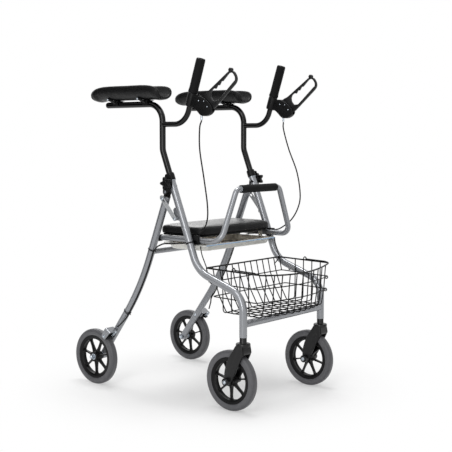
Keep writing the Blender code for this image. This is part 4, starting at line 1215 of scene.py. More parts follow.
@dataclass
class Leg(Assembly):
    """Bent rear leg with its hinge knuckle, axle, brake bracket, shoe and spring."""

    at: float = LEG_X
    tube: float = FRAME_TUBE
    top: tuple[float, float] = (0.0141, 0.69)
    knee: tuple[float, float] = (0.1386, 0.3687)
    foot: tuple[float, float] = (0.3376, 0.099)
    bracket_end: float = 0.2745
    hinge: tuple[float, float] = HINGE
    stay_top: tuple[float, float] = STAY_TOP
    axle: tuple[float, float] = REAR_AXLE

    def path(self) -> list[Vector]:
        """The leg's centre line from the hinge down to the axle."""
        x = self.x(self.at)
        return rounded([(x, *self.top), (x, *self.knee), (x, *self.foot)], (0.9,), 0.8)

    def level(self, height: float) -> tuple[Vector, Vector]:
        """The leg's centre at a height, and its downward direction there.

        Args:
            height: The height over the floor.

        Returns:
            The centre and the direction.
        """
        for above, below in zip(self.path(), self.path()[1:]):
            if above.z >= height >= below.z:
                share = (above.z - height) / (above.z - below.z)
                return above.lerp(below, share), (below - above).normalized()
        raise ValueError(f"no leg at height {height}")

    def along(self, distance: float, offset: float = 0.0) -> tuple[float, float]:
        """A point beside the lower leg.

        Args:
            distance: How far up the leg from the axle.
            offset: How far forward and down of that line.

        Returns:
            The point as (y, z).
        """
        run = Vector((self.foot[0] - self.knee[0], self.foot[1] - self.knee[1])).normalized()
        return (
            self.axle[0] - run.x * distance + run.y * offset,
            self.axle[1] - run.y * distance - run.x * offset,
        )

    def build(self) -> None:
        """Shapes the leg, the knuckle and the brake."""
        leg = self.sided("leg", FRAME_PAINT, "rear_frame", "rear_leg")
        ends = [(0.0004, self.tube - 0.0005)]
        foot = [(0.0006, self.tube - 0.001), (0.002, 0.009)]
        leg.add(swept(self.path(), self.tube, TUBE_SIDES, ends, foot))
        leg.add(self.pin(0.225, 0.2366, self.stay_top, 0.0046))
        leg.add(self.pin(0.208, 0.23, self.axle, 0.0135, FITTING_SIDES, 0.0012))
        bolts = self.sided("leg_bolts", ZINC, "rear_frame")
        bolts.add(self.pin(0.225, 0.242, self.stay_top, 0.0024))
        bolts.add(self.nut(0.2402, 0.2422, self.stay_top, 0.0066), 0.0004)
        bolts.add(self.head(0.242, 0.2432, self.stay_top, 0.0044))
        bolts.add(self.head(0.2072, 0.205, self.along(0.118), 0.0052))
        axle = self.sided("rear_axle_bolt", ZINC, "rear_frame", "rear_axle")
        axle.add(self.pin(0.2, 0.28, self.axle, 0.004))
        axle.add(self.nut(0.1985, 0.205, self.axle, 0.008), 0.0006)
        axle.add(self.pin(0.2304, 0.2382, self.axle, 0.008, 32))
        axle.add(self.nut(0.2712, 0.278, self.axle, 0.008), 0.0006)
        axle.add(self.head(0.2775, 0.2845, self.axle, 0.0062))
        self.build_knuckle()
        self.build_brake()
        self.build_ties()

    def build_knuckle(self) -> None:
        """Shapes the moulded knuckle on the leg's top."""
        x = self.x(self.at)
        base = Vector((x, *self.top))
        up = (Vector((x, *self.hinge)) - base).normalized()
        knuckle = self.sided("knuckle", NYLON, "rear_frame", "leg_knuckle")
        line = [base + up * t for t in (0.0002, 0.0018, 0.0034, 0.005)]
        knuckle.add(swept(line, [0.0127, 0.0126, 0.012, 0.01], TUBE_SIDES))
        low = base + up * 0.002
        across = Vector((0.0, up.z, -up.y)) * 0.0092
        heading = math.degrees(math.atan2(up.z, up.y))
        outline = arc(self.hinge, 0.0095, heading - 90, heading + 90, 14)
        outline += [((low - across).y, (low - across).z), ((low + across).y, (low + across).z)]
        ear = self.plate(outline, 0.2127, 0.2253)
        hole = self.pin(0.2, 0.24, self.hinge, 0.0034)
        knuckle.add(carved(ear, [hole]), 0.0006, 2)

    def build_brake(self) -> None:
        """Shapes the strap over the tyre, the shoe and its return spring."""
        side, far = self.side.value, self.bracket_end
        strap = self.sided("brake_strap", FRAME_PAINT, "rear_frame", "brake_bracket")
        section = [(0.2322, -0.0212), (0.2322, 0.0), (far, 0.0), (far, -0.0362)]
        bend = [Vector((side * a, b, 0.0)) for a, b in section]
        centre = rounded(bend, (0.006, 0.006), 12.0)
        rows = []
        for index, point in enumerate(centre):
            before, after = centre[max(index - 1, 0)], centre[min(index + 1, len(centre) - 1)]
            along = (after - before).normalized()
            inward = Vector((-along.y, along.x, 0.0)) * (-0.0013 * side)
            row = []
            for shift in (inward, -inward):
                for offset in (0.014, -0.012):
                    narrow = 1.0 - 0.5 * max(0.0, -(point + shift).y / 0.0362 - 0.5)
                    y, z = self.along(0.1332 - 0.0013 + (point + shift).y, offset * narrow)
                    row.append((point.x + shift.x, y, z))
            rows.append([row[0], row[1], row[3], row[2]])
        strap.add(closed_up(skinned(rows)), 0.0004, 1)
        bolt = self.sided("brake_bolt", ZINC, "rear_frame")
        place = self.along(0.104)
        bolt.add(self.nut(far + 0.0006, far + 0.003, place, 0.005), 0.0003)
        bolt.add(self.head(far + 0.0028, far + 0.0038, place, 0.0034))
        shoe = self.sided("shoe", NYLON, self.own("shoe"), "brake_shoe")
        line = [
            self.along(0.1018, 0.011), self.along(0.1022, 0.0), self.along(0.1018, -0.011),
            self.along(0.119, -0.011), self.along(0.119, 0.011),
        ]
        shoe.add(self.plate(soften(line, 0.002), 0.2395, 0.2685), 0.0012)
        lip = [
            self.along(0.11, 0.009), self.along(0.119, 0.009), self.along(0.119, 0.023),
            self.along(0.114, 0.023),
        ]
        shoe.add(self.plate(soften(lip, 0.0015), 0.248, 0.262), 0.0008)
        spring = self.sided("brake_spring", ZINC, self.own("shoe"), slot="black_plastic")
        low, high = self.along(0.1185, 0.0165), self.along(0.142, 0.0215)
        start, end = Vector((side * 0.255, *low)), Vector((side * 0.252, *high))
        turn = (end - start).normalized().cross(Vector((1, 0, 0))).normalized()
        other = (end - start).normalized().cross(turn)
        coil = []
        turns, steps = 7, 14
        for index in range(turns * steps + 1):
            t = index / (turns * steps)
            angle = FULL_TURN * index / steps
            round_wire = turn * math.cos(angle) + other * math.sin(angle)
            coil.append(start.lerp(end, t) + round_wire * 0.0036)
        spring.add(swept(coil, 0.0006, 8))

    def build_ties(self) -> None:
        """Shapes the cable ties that hold the brake cable to the leg."""
        side = self.side.value
        ties = self.sided("cable_ties", NYLON, "rear_frame")
        for height in (0.505, 0.275) if self.side is Side.RIGHT else (0.505,):
            centre, along = self.level(height)
            out = Vector((side, 0.0, 0.0))
            ahead = along.cross(out).normalized()
            if ahead.y > 0:
                ahead = -ahead
            loop = []
            for angle in angles(40):
                towards = out * math.cos(angle) + ahead * math.sin(angle)
                bulge = 0.004 * max(0.0, towards.dot((out + ahead).normalized())) ** 6
                loop.append(centre + towards * (0.0133 + bulge))
            ties.add(swept(loop, 0.0011, 8, closed=True))
            ties.add(swept([p + along * 0.0016 for p in loop], 0.001, 8, closed=True))
            head = centre + (out * 0.2 + ahead).normalized() * 0.015
            lock = swept([head - ahead * 0.0022, head + ahead * 0.0026], 0.003, 4)
            ties.add(lock, 0.0005)
            ties.add(swept([head, head + ahead * 0.0075 - along * 0.001], 0.0012, 6))


@dataclass
class Arm(Assembly):
    """Telescoping arm with its grip, brake housing, loop lever and pad struts."""

    at: float = UPRIGHT_X
    tube: float = 0.0106
    insert: float = 0.165
    kink: tuple[float, float] = (0.032, 0.8464)
    tee: float = 0.9335
    pad_height: float = 1.002
    pad_end: float = 0.294
    low: tuple[float, float] = (-0.1052, 1.035)
    high: tuple[float, float] = (-0.141, 1.144)
    lever_x: float = 0.222
    pivot: tuple[float, float] = (-0.16, 0.988)

    def grip_point(self, t: float) -> Vector:
        """A point of the grip line.

        Args:
            t: Its share of the line, 0 at the foot and 1 at the top.

        Returns:
            The point.
        """
        y = self.low[0] + (self.high[0] - self.low[0]) * t
        z = self.low[1] + (self.high[1] - self.low[1]) * t
        return Vector((self.x(self.at), y, z))

    def build(self) -> None:
        """Shapes the bent tubes, then the grip, the brake and the struts."""
        x = self.x(self.at)
        body = self.own("arm")
        arm = self.sided("arm_tubes", ARM_PAINT, body, "arm_tube")
        start = Vector((x, *axis_point(0.75))) - AXIS * self.insert
        corners = [
            start, (x, *self.kink), (x, self.kink[0], self.pad_height),
            (x, self.pad_end, self.pad_height),
        ]
        line = rounded(corners, (0.05, 0.06), 3.0)
        arm.add(swept(line, self.tube, FITTING_SIDES, [(0.0004, self.tube - 0.0005)]))
        down = (self.tee - self.low[1]) / (self.high[1] - self.low[1])
        bend = self.grip_point(down)
        branch = rounded([(x, self.kink[0], self.tee), bend, self.grip_point(1.0)], (0.065,), 3.0)
        top = [(0.0002, 0.0088), (0.0002, 0.0078), (-0.02, 0.0076)]
        arm.add(swept(branch, 0.0094, 36, (), top))
        bead = []
        for angle in angles(36):
            y = self.kink[0] - 0.0106 + 0.0036 * math.cos(angle) ** 2
            bead.append((x + 0.0096 * math.cos(angle), y, self.tee + 0.0096 * math.sin(angle)))
        arm.add(swept(bead, 0.0014, 8, closed=True))
        cap = [(0.0012, self.tube - 0.0006), (0.0042, self.tube - 0.0012), (0.0048, self.tube - 0.0022)]
        end = [(x, self.pad_end - 0.0005, self.pad_height), (x, self.pad_end, self.pad_height)]
        arm.add(swept(end, self.tube, FITTING_SIDES, (), cap), finish=NYLON)
        self.build_grip()
        self.build_housing()
        self.build_lever()
        self.build_struts()

    def build_grip(self) -> None:
        """Shapes the sleeve with its flared foot and open top."""
        grip = self.sided("grip", GRIP_FOAM, self.own("arm"), "hand_grip")
        stations = (0.012, 0.03, 0.06, 0.1, 0.16, 0.5, 0.9, 0.96, 0.99)
        radii = [0.0163, 0.0169, 0.0168, 0.016, 0.0155, 0.0157, 0.0155, 0.0154, 0.0147]
        rim = [(0.0016, 0.0136), (0.002, 0.0124), (0.0018, 0.0108), (0.0004, 0.0099), (-0.02, 0.0097)]
        foot = [(0.0004, 0.015), (0.0004, 0.0099)]
        grip.add(swept([self.grip_point(t) for t in stations], radii, TUBE_SIDES, foot, rim))
        ring = self.sided("grip_liner", ARM_PAINT, self.own("arm"))
        edge = [(0.0004, 0.0091), (0.0004, 0.008), (-0.016, 0.0078)]
        ring.add(
            swept([self.grip_point(0.86), self.grip_point(1.006)], 0.00955, FITTING_SIDES, (), edge)
        )

    def build_housing(self) -> None:
        """Shapes the clamp sleeve and the slotted drop that carries the lever."""
        side = self.side.value
        housing = self.sided("housing", NYLON, self.own("arm"), "brake_housing")
        stations = (-0.4, -0.385, -0.36, -0.2, -0.03, -0.01, -0.002)
        sizes = [0.014, 0.015, 0.0156, 0.0157, 0.0158, 0.0154, 0.0148]
        inner = [(0.0, 0.0098), (-0.045, 0.0097)]
        sleeve = swept([self.grip_point(t) for t in stations], sizes, TUBE_SIDES, (), inner)
        outline = [
            (-0.09, 1.024), (-0.116, 1.026), (-0.142, 1.025), (-0.162, 1.016), (-0.18, 1.004),
            (-0.1945, 0.99), (-0.196, 0.975), (-0.183, 0.9625), (-0.164, 0.957), (-0.146, 0.96),
            (-0.13, 0.976), (-0.118, 0.986), (-0.096, 0.992),
        ]
        drop = self.plate(soften(outline, 0.009, 6), self.lever_x - 0.01, self.lever_x + 0.01)
        bevelled(drop, 0.0026, 4)
        cut = [
            (-0.122, 1.04), (-0.122, 1.013), (-0.134, 0.97), (-0.156, 0.966), (-0.176, 0.968),
            (-0.21, 0.976), (-0.21, 1.04),
        ]
        slot = self.plate(cut, self.lever_x - 0.0046, self.lever_x + 0.0046)
        core = swept([self.grip_point(-0.6), self.grip_point(0.3)], 0.011, 36)
        housing.add(carved(drop, [slot, core]))
        housing.add(sleeve)
        metal = self.sided("housing_metal", ZINC, self.own("arm"))
        metal.add(self.pin(self.lever_x - 0.009, self.lever_x + 0.009, self.pivot, 0.003))
        rivets = (((-0.14, 1.008), 0.0023), ((-0.162, 1.006), 0.002), ((-0.176, 0.988), 0.0023))
        for place, size in rivets:
            for reach in (0.01, -0.01):
                face = side * (self.lever_x + reach)
                out = side * reach / 0.01
                metal.add(domed_head(face - 0.0004 * out, face + 0.0012 * out, place, size))
        ferrule = [(side * 0.225, -0.147, 0.96), (side * 0.225, -0.1472, 0.9462)]
        metal.add(swept(ferrule, 0.0036, 28, (), [(0.0004, 0.0031)]))

    def build_lever(self) -> None:
        """Shapes the loop lever with a toothed inner bar and a knobbed tip."""
        x = self.x(self.lever_x)
        outer = [
            (-0.145, 1.023), (-0.154, 1.0285), (-0.168, 1.0335), (-0.26, 1.0985), (-0.27, 1.101),
            (-0.2835, 1.0965), (-0.2935, 1.0815), (-0.295, 1.069), (-0.2885, 1.058), (-0.22, 0.999),
            (-0.201, 0.983), (-0.172, 0.971), (-0.15, 0.974), (-0.142, 0.988), (-0.14, 1.008),
        ]
        hole = [
            (-0.188, 1.04), (-0.201, 1.048), (-0.2062, 1.0438), (-0.215, 1.0576), (-0.2208, 1.0545),
            (-0.23, 1.069), (-0.2345, 1.0672), (-0.261, 1.0925), (-0.272, 1.0945), (-0.279, 1.0905),
            (-0.2865, 1.079), (-0.2868, 1.07), (-0.281, 1.0635), (-0.215, 1.0065), (-0.196, 1.006),
            (-0.186, 1.018), (-0.184, 1.03),
        ]
        lever = self.sided("lever", SATIN_NYLON, self.own("lever"), "brake_lever")
        loop = plate(soften(outer, 0.006, 5), x - 0.0038, x + 0.0038)
        window = plate(soften(hole, 0.0032, 4), x - 0.01, x + 0.01)
        pivot = pin_x(x - 0.01, x + 0.01, self.pivot, 0.0035)
        lever.add(carved(loop, [window, pivot]), 0.0012, 3)
        round_end = [(0.0014, 0.0034), (0.0024, 0.0026), (0.0032, 0.0012)]
        for run, radius in (
            ([(x, -0.179, 1.037), (x, -0.259, 1.0945)], 0.0038),
            ([(x, -0.212, 0.9985), (x, -0.285, 1.064)], 0.0046),
        ):
            lever.add(swept(run, radius, 28, round_end, round_end))
        lever.add(pin_x(x - 0.0068, x + 0.0068, (-0.268, 1.1025), 0.0068, 36, 0.0016))

    def build_struts(self) -> None:
        """Shapes the pad's clamp feet and mounting plates, and the ears with their screws."""
        x = self.x(self.at)
        carrier = self.sided("pad_struts", NYLON, self.own("arm"), "pad_carrier")
        screws = self.sided("pad_screws", ZINC, self.own("arm"))
        for y0, y1 in ((0.089, 0.113), (0.233, 0.259)):
            seat = [
                (x - 0.0185, y0 - 0.004), (x + 0.0185, y0 - 0.004), (x + 0.0185, y1 + 0.004),
                (x - 0.0185, y1 + 0.004),
            ]
            carrier.add(slab(soften(seat, 0.006), 1.0146, 1.0162), 0.0005)
            clamp = [(y0, 0.9986), (y1, 0.9986), (y1 - 0.003, 1.015), (y0 + 0.003, 1.015)]
            foot = plate(clamp, x - 0.0143, x + 0.0143)
            run = [(x, y0 - 0.02, self.pad_height), (x, y1 + 0.02, self.pad_height)]
            carrier.add(carved(foot, [swept(run, self.tube + 0.0001, FITTING_SIDES)]), 0.0006)
            middle = (y0 + y1) / 2
            for way in BOTH_WAYS:
                ear = [
                    (0.014, -0.002, 1.0065), (0.018, 0.006, 1.0115), (0.024, 0.015, 1.018),
                    (0.029, 0.02, 1.0235),
                ]
                line = [(x + way * a, middle + b, c) for a, b, c in ear]
                sizes = [0.0036, 0.0036, 0.004, 0.0042]
                carrier.add(swept(line, sizes, 16, [(0.002, 0.002)], [(0.0006, 0.0036)]))
                tip = Vector((x + way * 0.0285, middle + 0.0195, 1.0225))
                out = Vector((way * 0.8, 0.0, -0.6)).normalized()
                head = [(0.0008, 0.0032), (0.0014, 0.0024), (0.0017, 0.0012)]
                screws.add(swept([tip, tip + out * 0.0042], 0.0036, 24, (), head))


@dataclass
class Wheel(Assembly):
    """Solid-tyred wheel with seven thin blade spokes and a plain hub."""

    place: str = "front"
    centre: tuple[float, float, float] = (UPRIGHT_X, *FRONT_AXLE)
    hub_half: float = 0.015
    first_spoke: float = 51.0
    spokes: int = 7
    radius: float = 0.1
    rim: float = 0.0775

    def build(self) -> None:
        """Shapes the tyre and the moulded wheel in it."""
        x, y, z = self.x(self.centre[0]), self.centre[1], self.centre[2]
        body = self.own(f"{self.place}_wheel")
        tyre = self.sided(f"{self.place}_tyre_skin", TYRE, body, f"{self.place}_tyre")
        tyre.add(turned(self.tread(), (x, y, z), 160))
        rim = self.piece(f"{body}_moulding", RIM_NYLON, body, self.own(f"{self.place}_rim"))
        ring = [
            (0.0655, 0.003), (0.064, 0.0088), (0.0648, 0.0096), (0.07, 0.0112), (0.0742, 0.0122),
            (0.0772, 0.012), (0.0778, 0.011),
        ]
        rim.add(turned(mirrored(ring), (x, y, z), 160))
        half = self.hub_half
        hub = [
            (0.0045, half - 0.001), (0.012, half), (0.0168, half), (0.0178, half - 0.001),
            (0.0186, 0.004),
        ]
        rim.add(turned(mirrored(hub), (x, y, z), 72))
        for index in range(self.spokes):
            angle = math.radians(self.first_spoke + 360 * index / self.spokes)
            rim.add(self.blade((x, y, z), angle), 0.0009, 2)
        bearing = self.sided(f"{self.place}_bearing", ZINC, body)
        for way in BOTH_WAYS:
            face = x + way * self.hub_half
            disc = [(0.0005, 0.0104), (0.0005, 0.005)]
            bearing.add(
                swept([(face - way * 0.002, y, z), (face, y, z)], 0.0108, FITTING_SIDES, (), disc)
            )

    def tread(self) -> list[tuple[float, float]]:
        """The tyre's section: a shallow crown, round shoulders and a bead lip at the rim.

        Returns:
            The section as (radius, x offset).
        """
        half = [
            (self.rim + 0.0003, 0.0112), (self.rim + 0.0006, 0.0124), (0.08, 0.0133), (0.0835, 0.0141)
        ]
        for step in range(9):
            angle = math.radians(step * 10)
            r, o = 0.089 + 0.011 * math.sin(angle), 0.0045 + 0.01 * math.cos(angle)
            half.append((r, o))
            if step in (3, 5, 7):
                # A fine groove round the shoulder: its bottom, then its far edge.
                c, s = math.cos(angle), math.sin(angle)
                for run, deep in ((0.0004, 0.0009), (0.0009, 0.0)):
                    half.append((r + c * run - s * deep, o - s * run - c * deep))
        half.append((self.radius, 0.0015))
        return mirrored(half)

    def blade(self, centre: Point, angle: float) -> Shape:
        """One spoke: a thin blade, deep along the axle, that flares into hub and rim.

        Args:
            centre: The wheel's centre.
            angle: The spoke's turn from straight down, in radians.

        Returns:
            The blade.
        """
        radial = Vector((0, math.sin(angle), -math.cos(angle)))
        around = Vector((0, math.cos(angle), math.sin(angle)))
        corners = ((-1, -1), (1, -1), (1, 1), (-1, 1))
        rows = []
        for reach, wide, deep in (
            (0.016, 0.0062, 0.0088),
            (0.02, 0.0036, 0.0084),
            (0.026, 0.0026, 0.0076),
            (0.04, 0.0022, 0.0064),
            (0.056, 0.0022, 0.0062),
            (0.062, 0.0034, 0.0066),
            (0.0665, 0.0062, 0.0072),
        ):
            spot = Vector(centre) + radial * reach
            rows.append([spot + around * wide * a + Vector((deep * b, 0, 0)) for a, b in corners])
        return closed_up(skinned(rows))


@dataclass
class Caster(Assembly):
    """Caster fork with its stem, crown, two raked blades, axle bosses and bolt."""

    at: float = UPRIGHT_X
    pivot: float = STEM_Y
    blade_inside: float = 0.0166
    blade_outside: float = 0.0238
    wheel_room: float = 0.1045
    boss: float = 0.013
    boss_end: float = 0.035
    axle: tuple[float, float] = FRONT_AXLE

    def build(self) -> None:
        """Shapes the fork and the axle."""
        x = self.x(self.at)
        fork = self.sided("fork", SATIN_NYLON, self.own("caster"), "caster_fork")
        heights = (
            0.26, 0.258, 0.256, 0.2482, 0.2476, 0.2466, 0.2304, 0.2296, 0.2292, 0.2284, 0.2264, 0.2196,
            0.218,
        )
        sizes = [
            0.0085, 0.0096, 0.01, 0.01, 0.0112, 0.0118, 0.0118, 0.0124, 0.0214, 0.0231, 0.0239, 0.0239,
            0.0234,
        ]
        stem = swept([(x, self.pivot, h) for h in heights], sizes, 48)
        outline = [
            (-0.304, 0.223), (-0.2955, 0.2095), (-0.285, 0.1948), (-0.2755, 0.1801), (-0.2655, 0.158),
            (-0.2598, 0.1407), (-0.2572, 0.1259), *arc(self.axle, 0.014, 20, -160, 16), (-0.2885, 0.108),
            (-0.2987, 0.1241), (-0.3085, 0.144), (-0.319, 0.164), (-0.326, 0.178), (-0.3318, 0.189),
            (-0.3338, 0.1975), (-0.3325, 0.211), (-0.3305, 0.223),
        ]
        crown_line = [
            (-0.304, 0.223), (-0.2955, 0.21), (-0.302, 0.202), (-0.325, 0.1935), (-0.334, 0.1925),
            (-0.3368, 0.197), (-0.3355, 0.207), (-0.3315, 0.223),
        ]
        shell = plate(soften(crown_line, 0.004), x - 0.02, x + 0.02)
        blades = []
        for way in BOTH_WAYS:
            blade = plate(
                soften(outline, 0.004), x + way * self.blade_inside, x + way * self.blade_outside
            )
            blades.append(bevelled(blade, 0.0026, 4))
        whole = carved(shell, [*blades, stem], "UNION")
        clearance = pin_x(x - 0.0168, x + 0.0168, self.axle, self.wheel_room, 96, 0.0002)
        bore = pin_x(x - 0.05, x + 0.05, self.axle, 0.0044)
        fork.add(carved(whole, [clearance, bore]))
        edge = [(-0.0016, 0.0126), (-0.0004, 0.0122), (0.0, 0.0116)]
        for way in BOTH_WAYS:
            boss = [(x + way * 0.0228, *self.axle), (x + way * self.boss_end, *self.axle)]
            fork.add(swept(boss, self.boss, FITTING_SIDES, (), edge))
        bolt = self.sided("fork_axle", ZINC, self.own("caster"), "front_axle")
        bolt.add(pin_x(x - 0.038, x + 0.038, self.axle, 0.004))
        for way in BOTH_WAYS:
            bolt.add(hexagon(x + way * self.boss_end, x + way * 0.039, self.axle, 0.0068), 0.0006)
            bolt.add(domed_head(x + way * 0.0386, x + way * 0.04, self.axle, 0.0042))


def swollen(
    obj: Object,
    held: Callable[[Vector], float],
    cap: float,
    pressure: float,
    slack: float,
    voxel: float = 0.0,
) -> None:
    """Fills a soft form: cloth under pressure, then one subdivision.

    Args:
        obj: The closed form; its mesh is changed.
        held: How firmly a point is held, 0 to 1.
        cap: The bound that a point's move runs up to.
        pressure: The pressure inside.
        slack: How much larger the cloth is than the form, as a share.
        voxel: The voxel size of a remesh before it, or 0 for none.
    """
    if voxel:
        remesh = obj.modifiers.new("remesh", "REMESH")
        remesh.mode = "VOXEL"
        remesh.voxel_size = voxel
    mesh = settled_mesh(obj)
    rest = [vert.co.copy() for vert in mesh.vertices]
    group = obj.vertex_groups.new(name="held")
    for vert in mesh.vertices:
        group.add([vert.index], held(vert.co), "REPLACE")
    cloth = obj.modifiers.new("cloth", "CLOTH")
    cloth.settings.use_pressure = True
    cloth.settings.uniform_pressure_force = pressure
    cloth.settings.shrink_min = -slack
    cloth.settings.effector_weights.gravity = 0.0
    cloth.settings.vertex_group_mass = "held"
    cloth.settings.bending_stiffness = 0.6
    cloth.collision_settings.use_collision = False
    for step in range(1, SETTLE_FRAMES + 1):
        bpy.context.scene.frame_set(step)
    graph = bpy.context.evaluated_depsgraph_get()
    moved = [vert.co.copy() for vert in obj.evaluated_get(graph).data.vertices]
    obj.modifiers.clear()
    obj.vertex_groups.clear()
    bpy.context.scene.frame_set(1)
    for vert, start, end in zip(mesh.vertices, rest, moved):
        shift = end - start
        vert.co = start + shift * (cap / (cap + shift.length))
    finer = obj.modifiers.new("finer", "SUBSURF")
    finer.levels = finer.render_levels = 1
    settled_mesh(obj)


@dataclass
class ForearmPad(Assembly):
    """Padded gutter in wrinkled vinyl, tacked under its rims."""

    at: float = UPRIGHT_X
    front: float = 0.018
    rear: float = 0.3505
    half: float = 0.0455
    thick: float = 0.012
    base: float = 1.0165
    rim: float = 0.0405
    soft: Optional[Object] = None

    def section(self, t: float) -> tuple[float, float, float, float]:
        """The pad's measures at one place.

        Args:
            t: The place, 0 to 1 along the pad.

        Returns:
            Half-width, rim rise, thickness and lower bulge.
        """
        along = abs(2 * t - 1)
        plan = math.sqrt(max(0.0, 1 - along**7))
        if t < 0.5:
            rise = 0.016 + (self.rim - 0.016) * (1 - along**6.5) ** 0.5
        else:
            rise = 0.011 + (self.rim - 0.011) * (1 - along**5) ** 0.6
        bulge = 0.003 * math.exp(-(((t - 0.06) / 0.05) ** 2))
        bulge += 0.0045 * math.exp(-(((t - 0.94) / 0.045) ** 2))
        edge = min(t, 1 - t) * (self.rear - self.front) / 0.007
        roll = math.sqrt(max(0.0, 1 - max(0.0, 1 - edge) ** 2))
        thick = self.thick * (0.62 + 0.38 * plan) * (0.35 + 0.65 * roll)
        half, rise = self.half * (0.7 + 0.3 * plan), rise * (0.85 + 0.15 * roll)
        return half, rise, thick, bulge * (0.3 + 0.7 * roll)

    def build(self) -> None:
        """Lofts the gutter and fills it."""
        x = self.x(self.at)
        bm = bmesh.new()
        rings = []
        count, columns = 68, 28
        for station in range(count + 1):
            t = 0.5 - 0.5 * math.cos(math.pi * station / count)
            half, rise, thick, bulge = self.section(t)
            thick *= 0.94
            y = self.front + 0.0012 + (self.rear - self.front - 0.0024) * t
            reach = half - 0.0008 - thick * 0.5
            centre = []
            for index in range(columns + 1):
                s = -1 + 2 * index / columns
                centre.append(Vector((reach * math.sin(s * math.pi / 2), rise * abs(s) ** 2.2)))
            outer, inner = [], []
            for index, point in enumerate(centre):
                along = (centre[min(index + 1, columns)] - centre[max(index - 1, 0)]).normalized()
                across = Vector((along.y, -along.x))
                edge = min(index, columns - index) / 3
                local = thick * 0.5 * min(1.0, 0.72 + 0.28 * edge)
                low = bulge * (1 - abs(2 * index / columns - 1)) ** 0.5
                outer.append(point + across * (local + low))
                inner.append(point - across * local)
            tips = []
            for point, towards in ((centre[-1], centre[-2]), (centre[0], centre[1])):
                tips.append(point + (point - towards).normalized() * thick * 0.38)
            loop = [*outer, tips[0], *reversed(inner), tips[1]]
            floor = self.base + self.thick * 0.5
            rings.append([bm.verts.new((x + p.x * self.side.value, y, floor + p.y)) for p in loop])
        for first, second in zip(rings, rings[1:]):
            bridge(bm, first, second)
        last = 2 * columns + 2
        for ring in (rings[0], rings[-1]):
            for index in range(columns):
                bm.faces.new((ring[index], ring[index + 1], ring[last - index - 1], ring[last - index]))
            bm.faces.new((ring[columns], ring[columns + 1], ring[columns + 2]))
            bm.faces.new((ring[0], ring[last], ring[last + 1]))
        self.soft = as_object(self.own("pad_cushion"), closed_up(bm))
        swollen(self.soft, self.hold, 0.0012, 2.0, 0.004)
        self.gather()

    def hold(self, point: Vector) -> float:
        """How firmly the cover is held to its strip at a point."""
        near = abs(point.x - self.x(self.at)) < 0.017 and point.z < self.base + 0.004
        return 1.0 if near else 0.0

    def gather(self) -> None:
        """Presses puckers into the underside, where the cover is drawn in and tacked."""
        x, seed = self.x(self.at), 3.1 * self.side.value
        verts = self.soft.data.vertices
        normals = [vert.normal.copy() for vert in verts]
        for vert, normal in zip(verts, normals):
            offset = abs(vert.co.x - x) / self.half
            if normal.z > 0.25:
                pull = 0.0004
                wave = noise.noise(Vector((vert.co.x * 45, vert.co.y * 26, seed)))
            else:
                end = min(vert.co.y - self.front, self.rear - vert.co.y)
                pull = 0.0006 * min(1.0, max(0.0, offset - 0.25) * 1.8)
                pull += 0.0014 * max(0.0, 1 - end / 0.04)
                wave = noise.noise(Vector((vert.co.z * 22, vert.co.y * 95, seed))) - 0.12
                wave += 0.5 * noise.noise(Vector((vert.co.z * 60, vert.co.y * 210, seed + 7)))
            vert.co += normal * pull * wave

    def dress(self) -> list[Object]:
        """Returns:
            The pad and the hard pieces.
        """
        made = dress(
            self.soft, [PAD_VINYL], self.own("arm"), "vinyl", [self.own("forearm_pad")], NEVER_SHARP
        )
        return [made, *super().dress()]


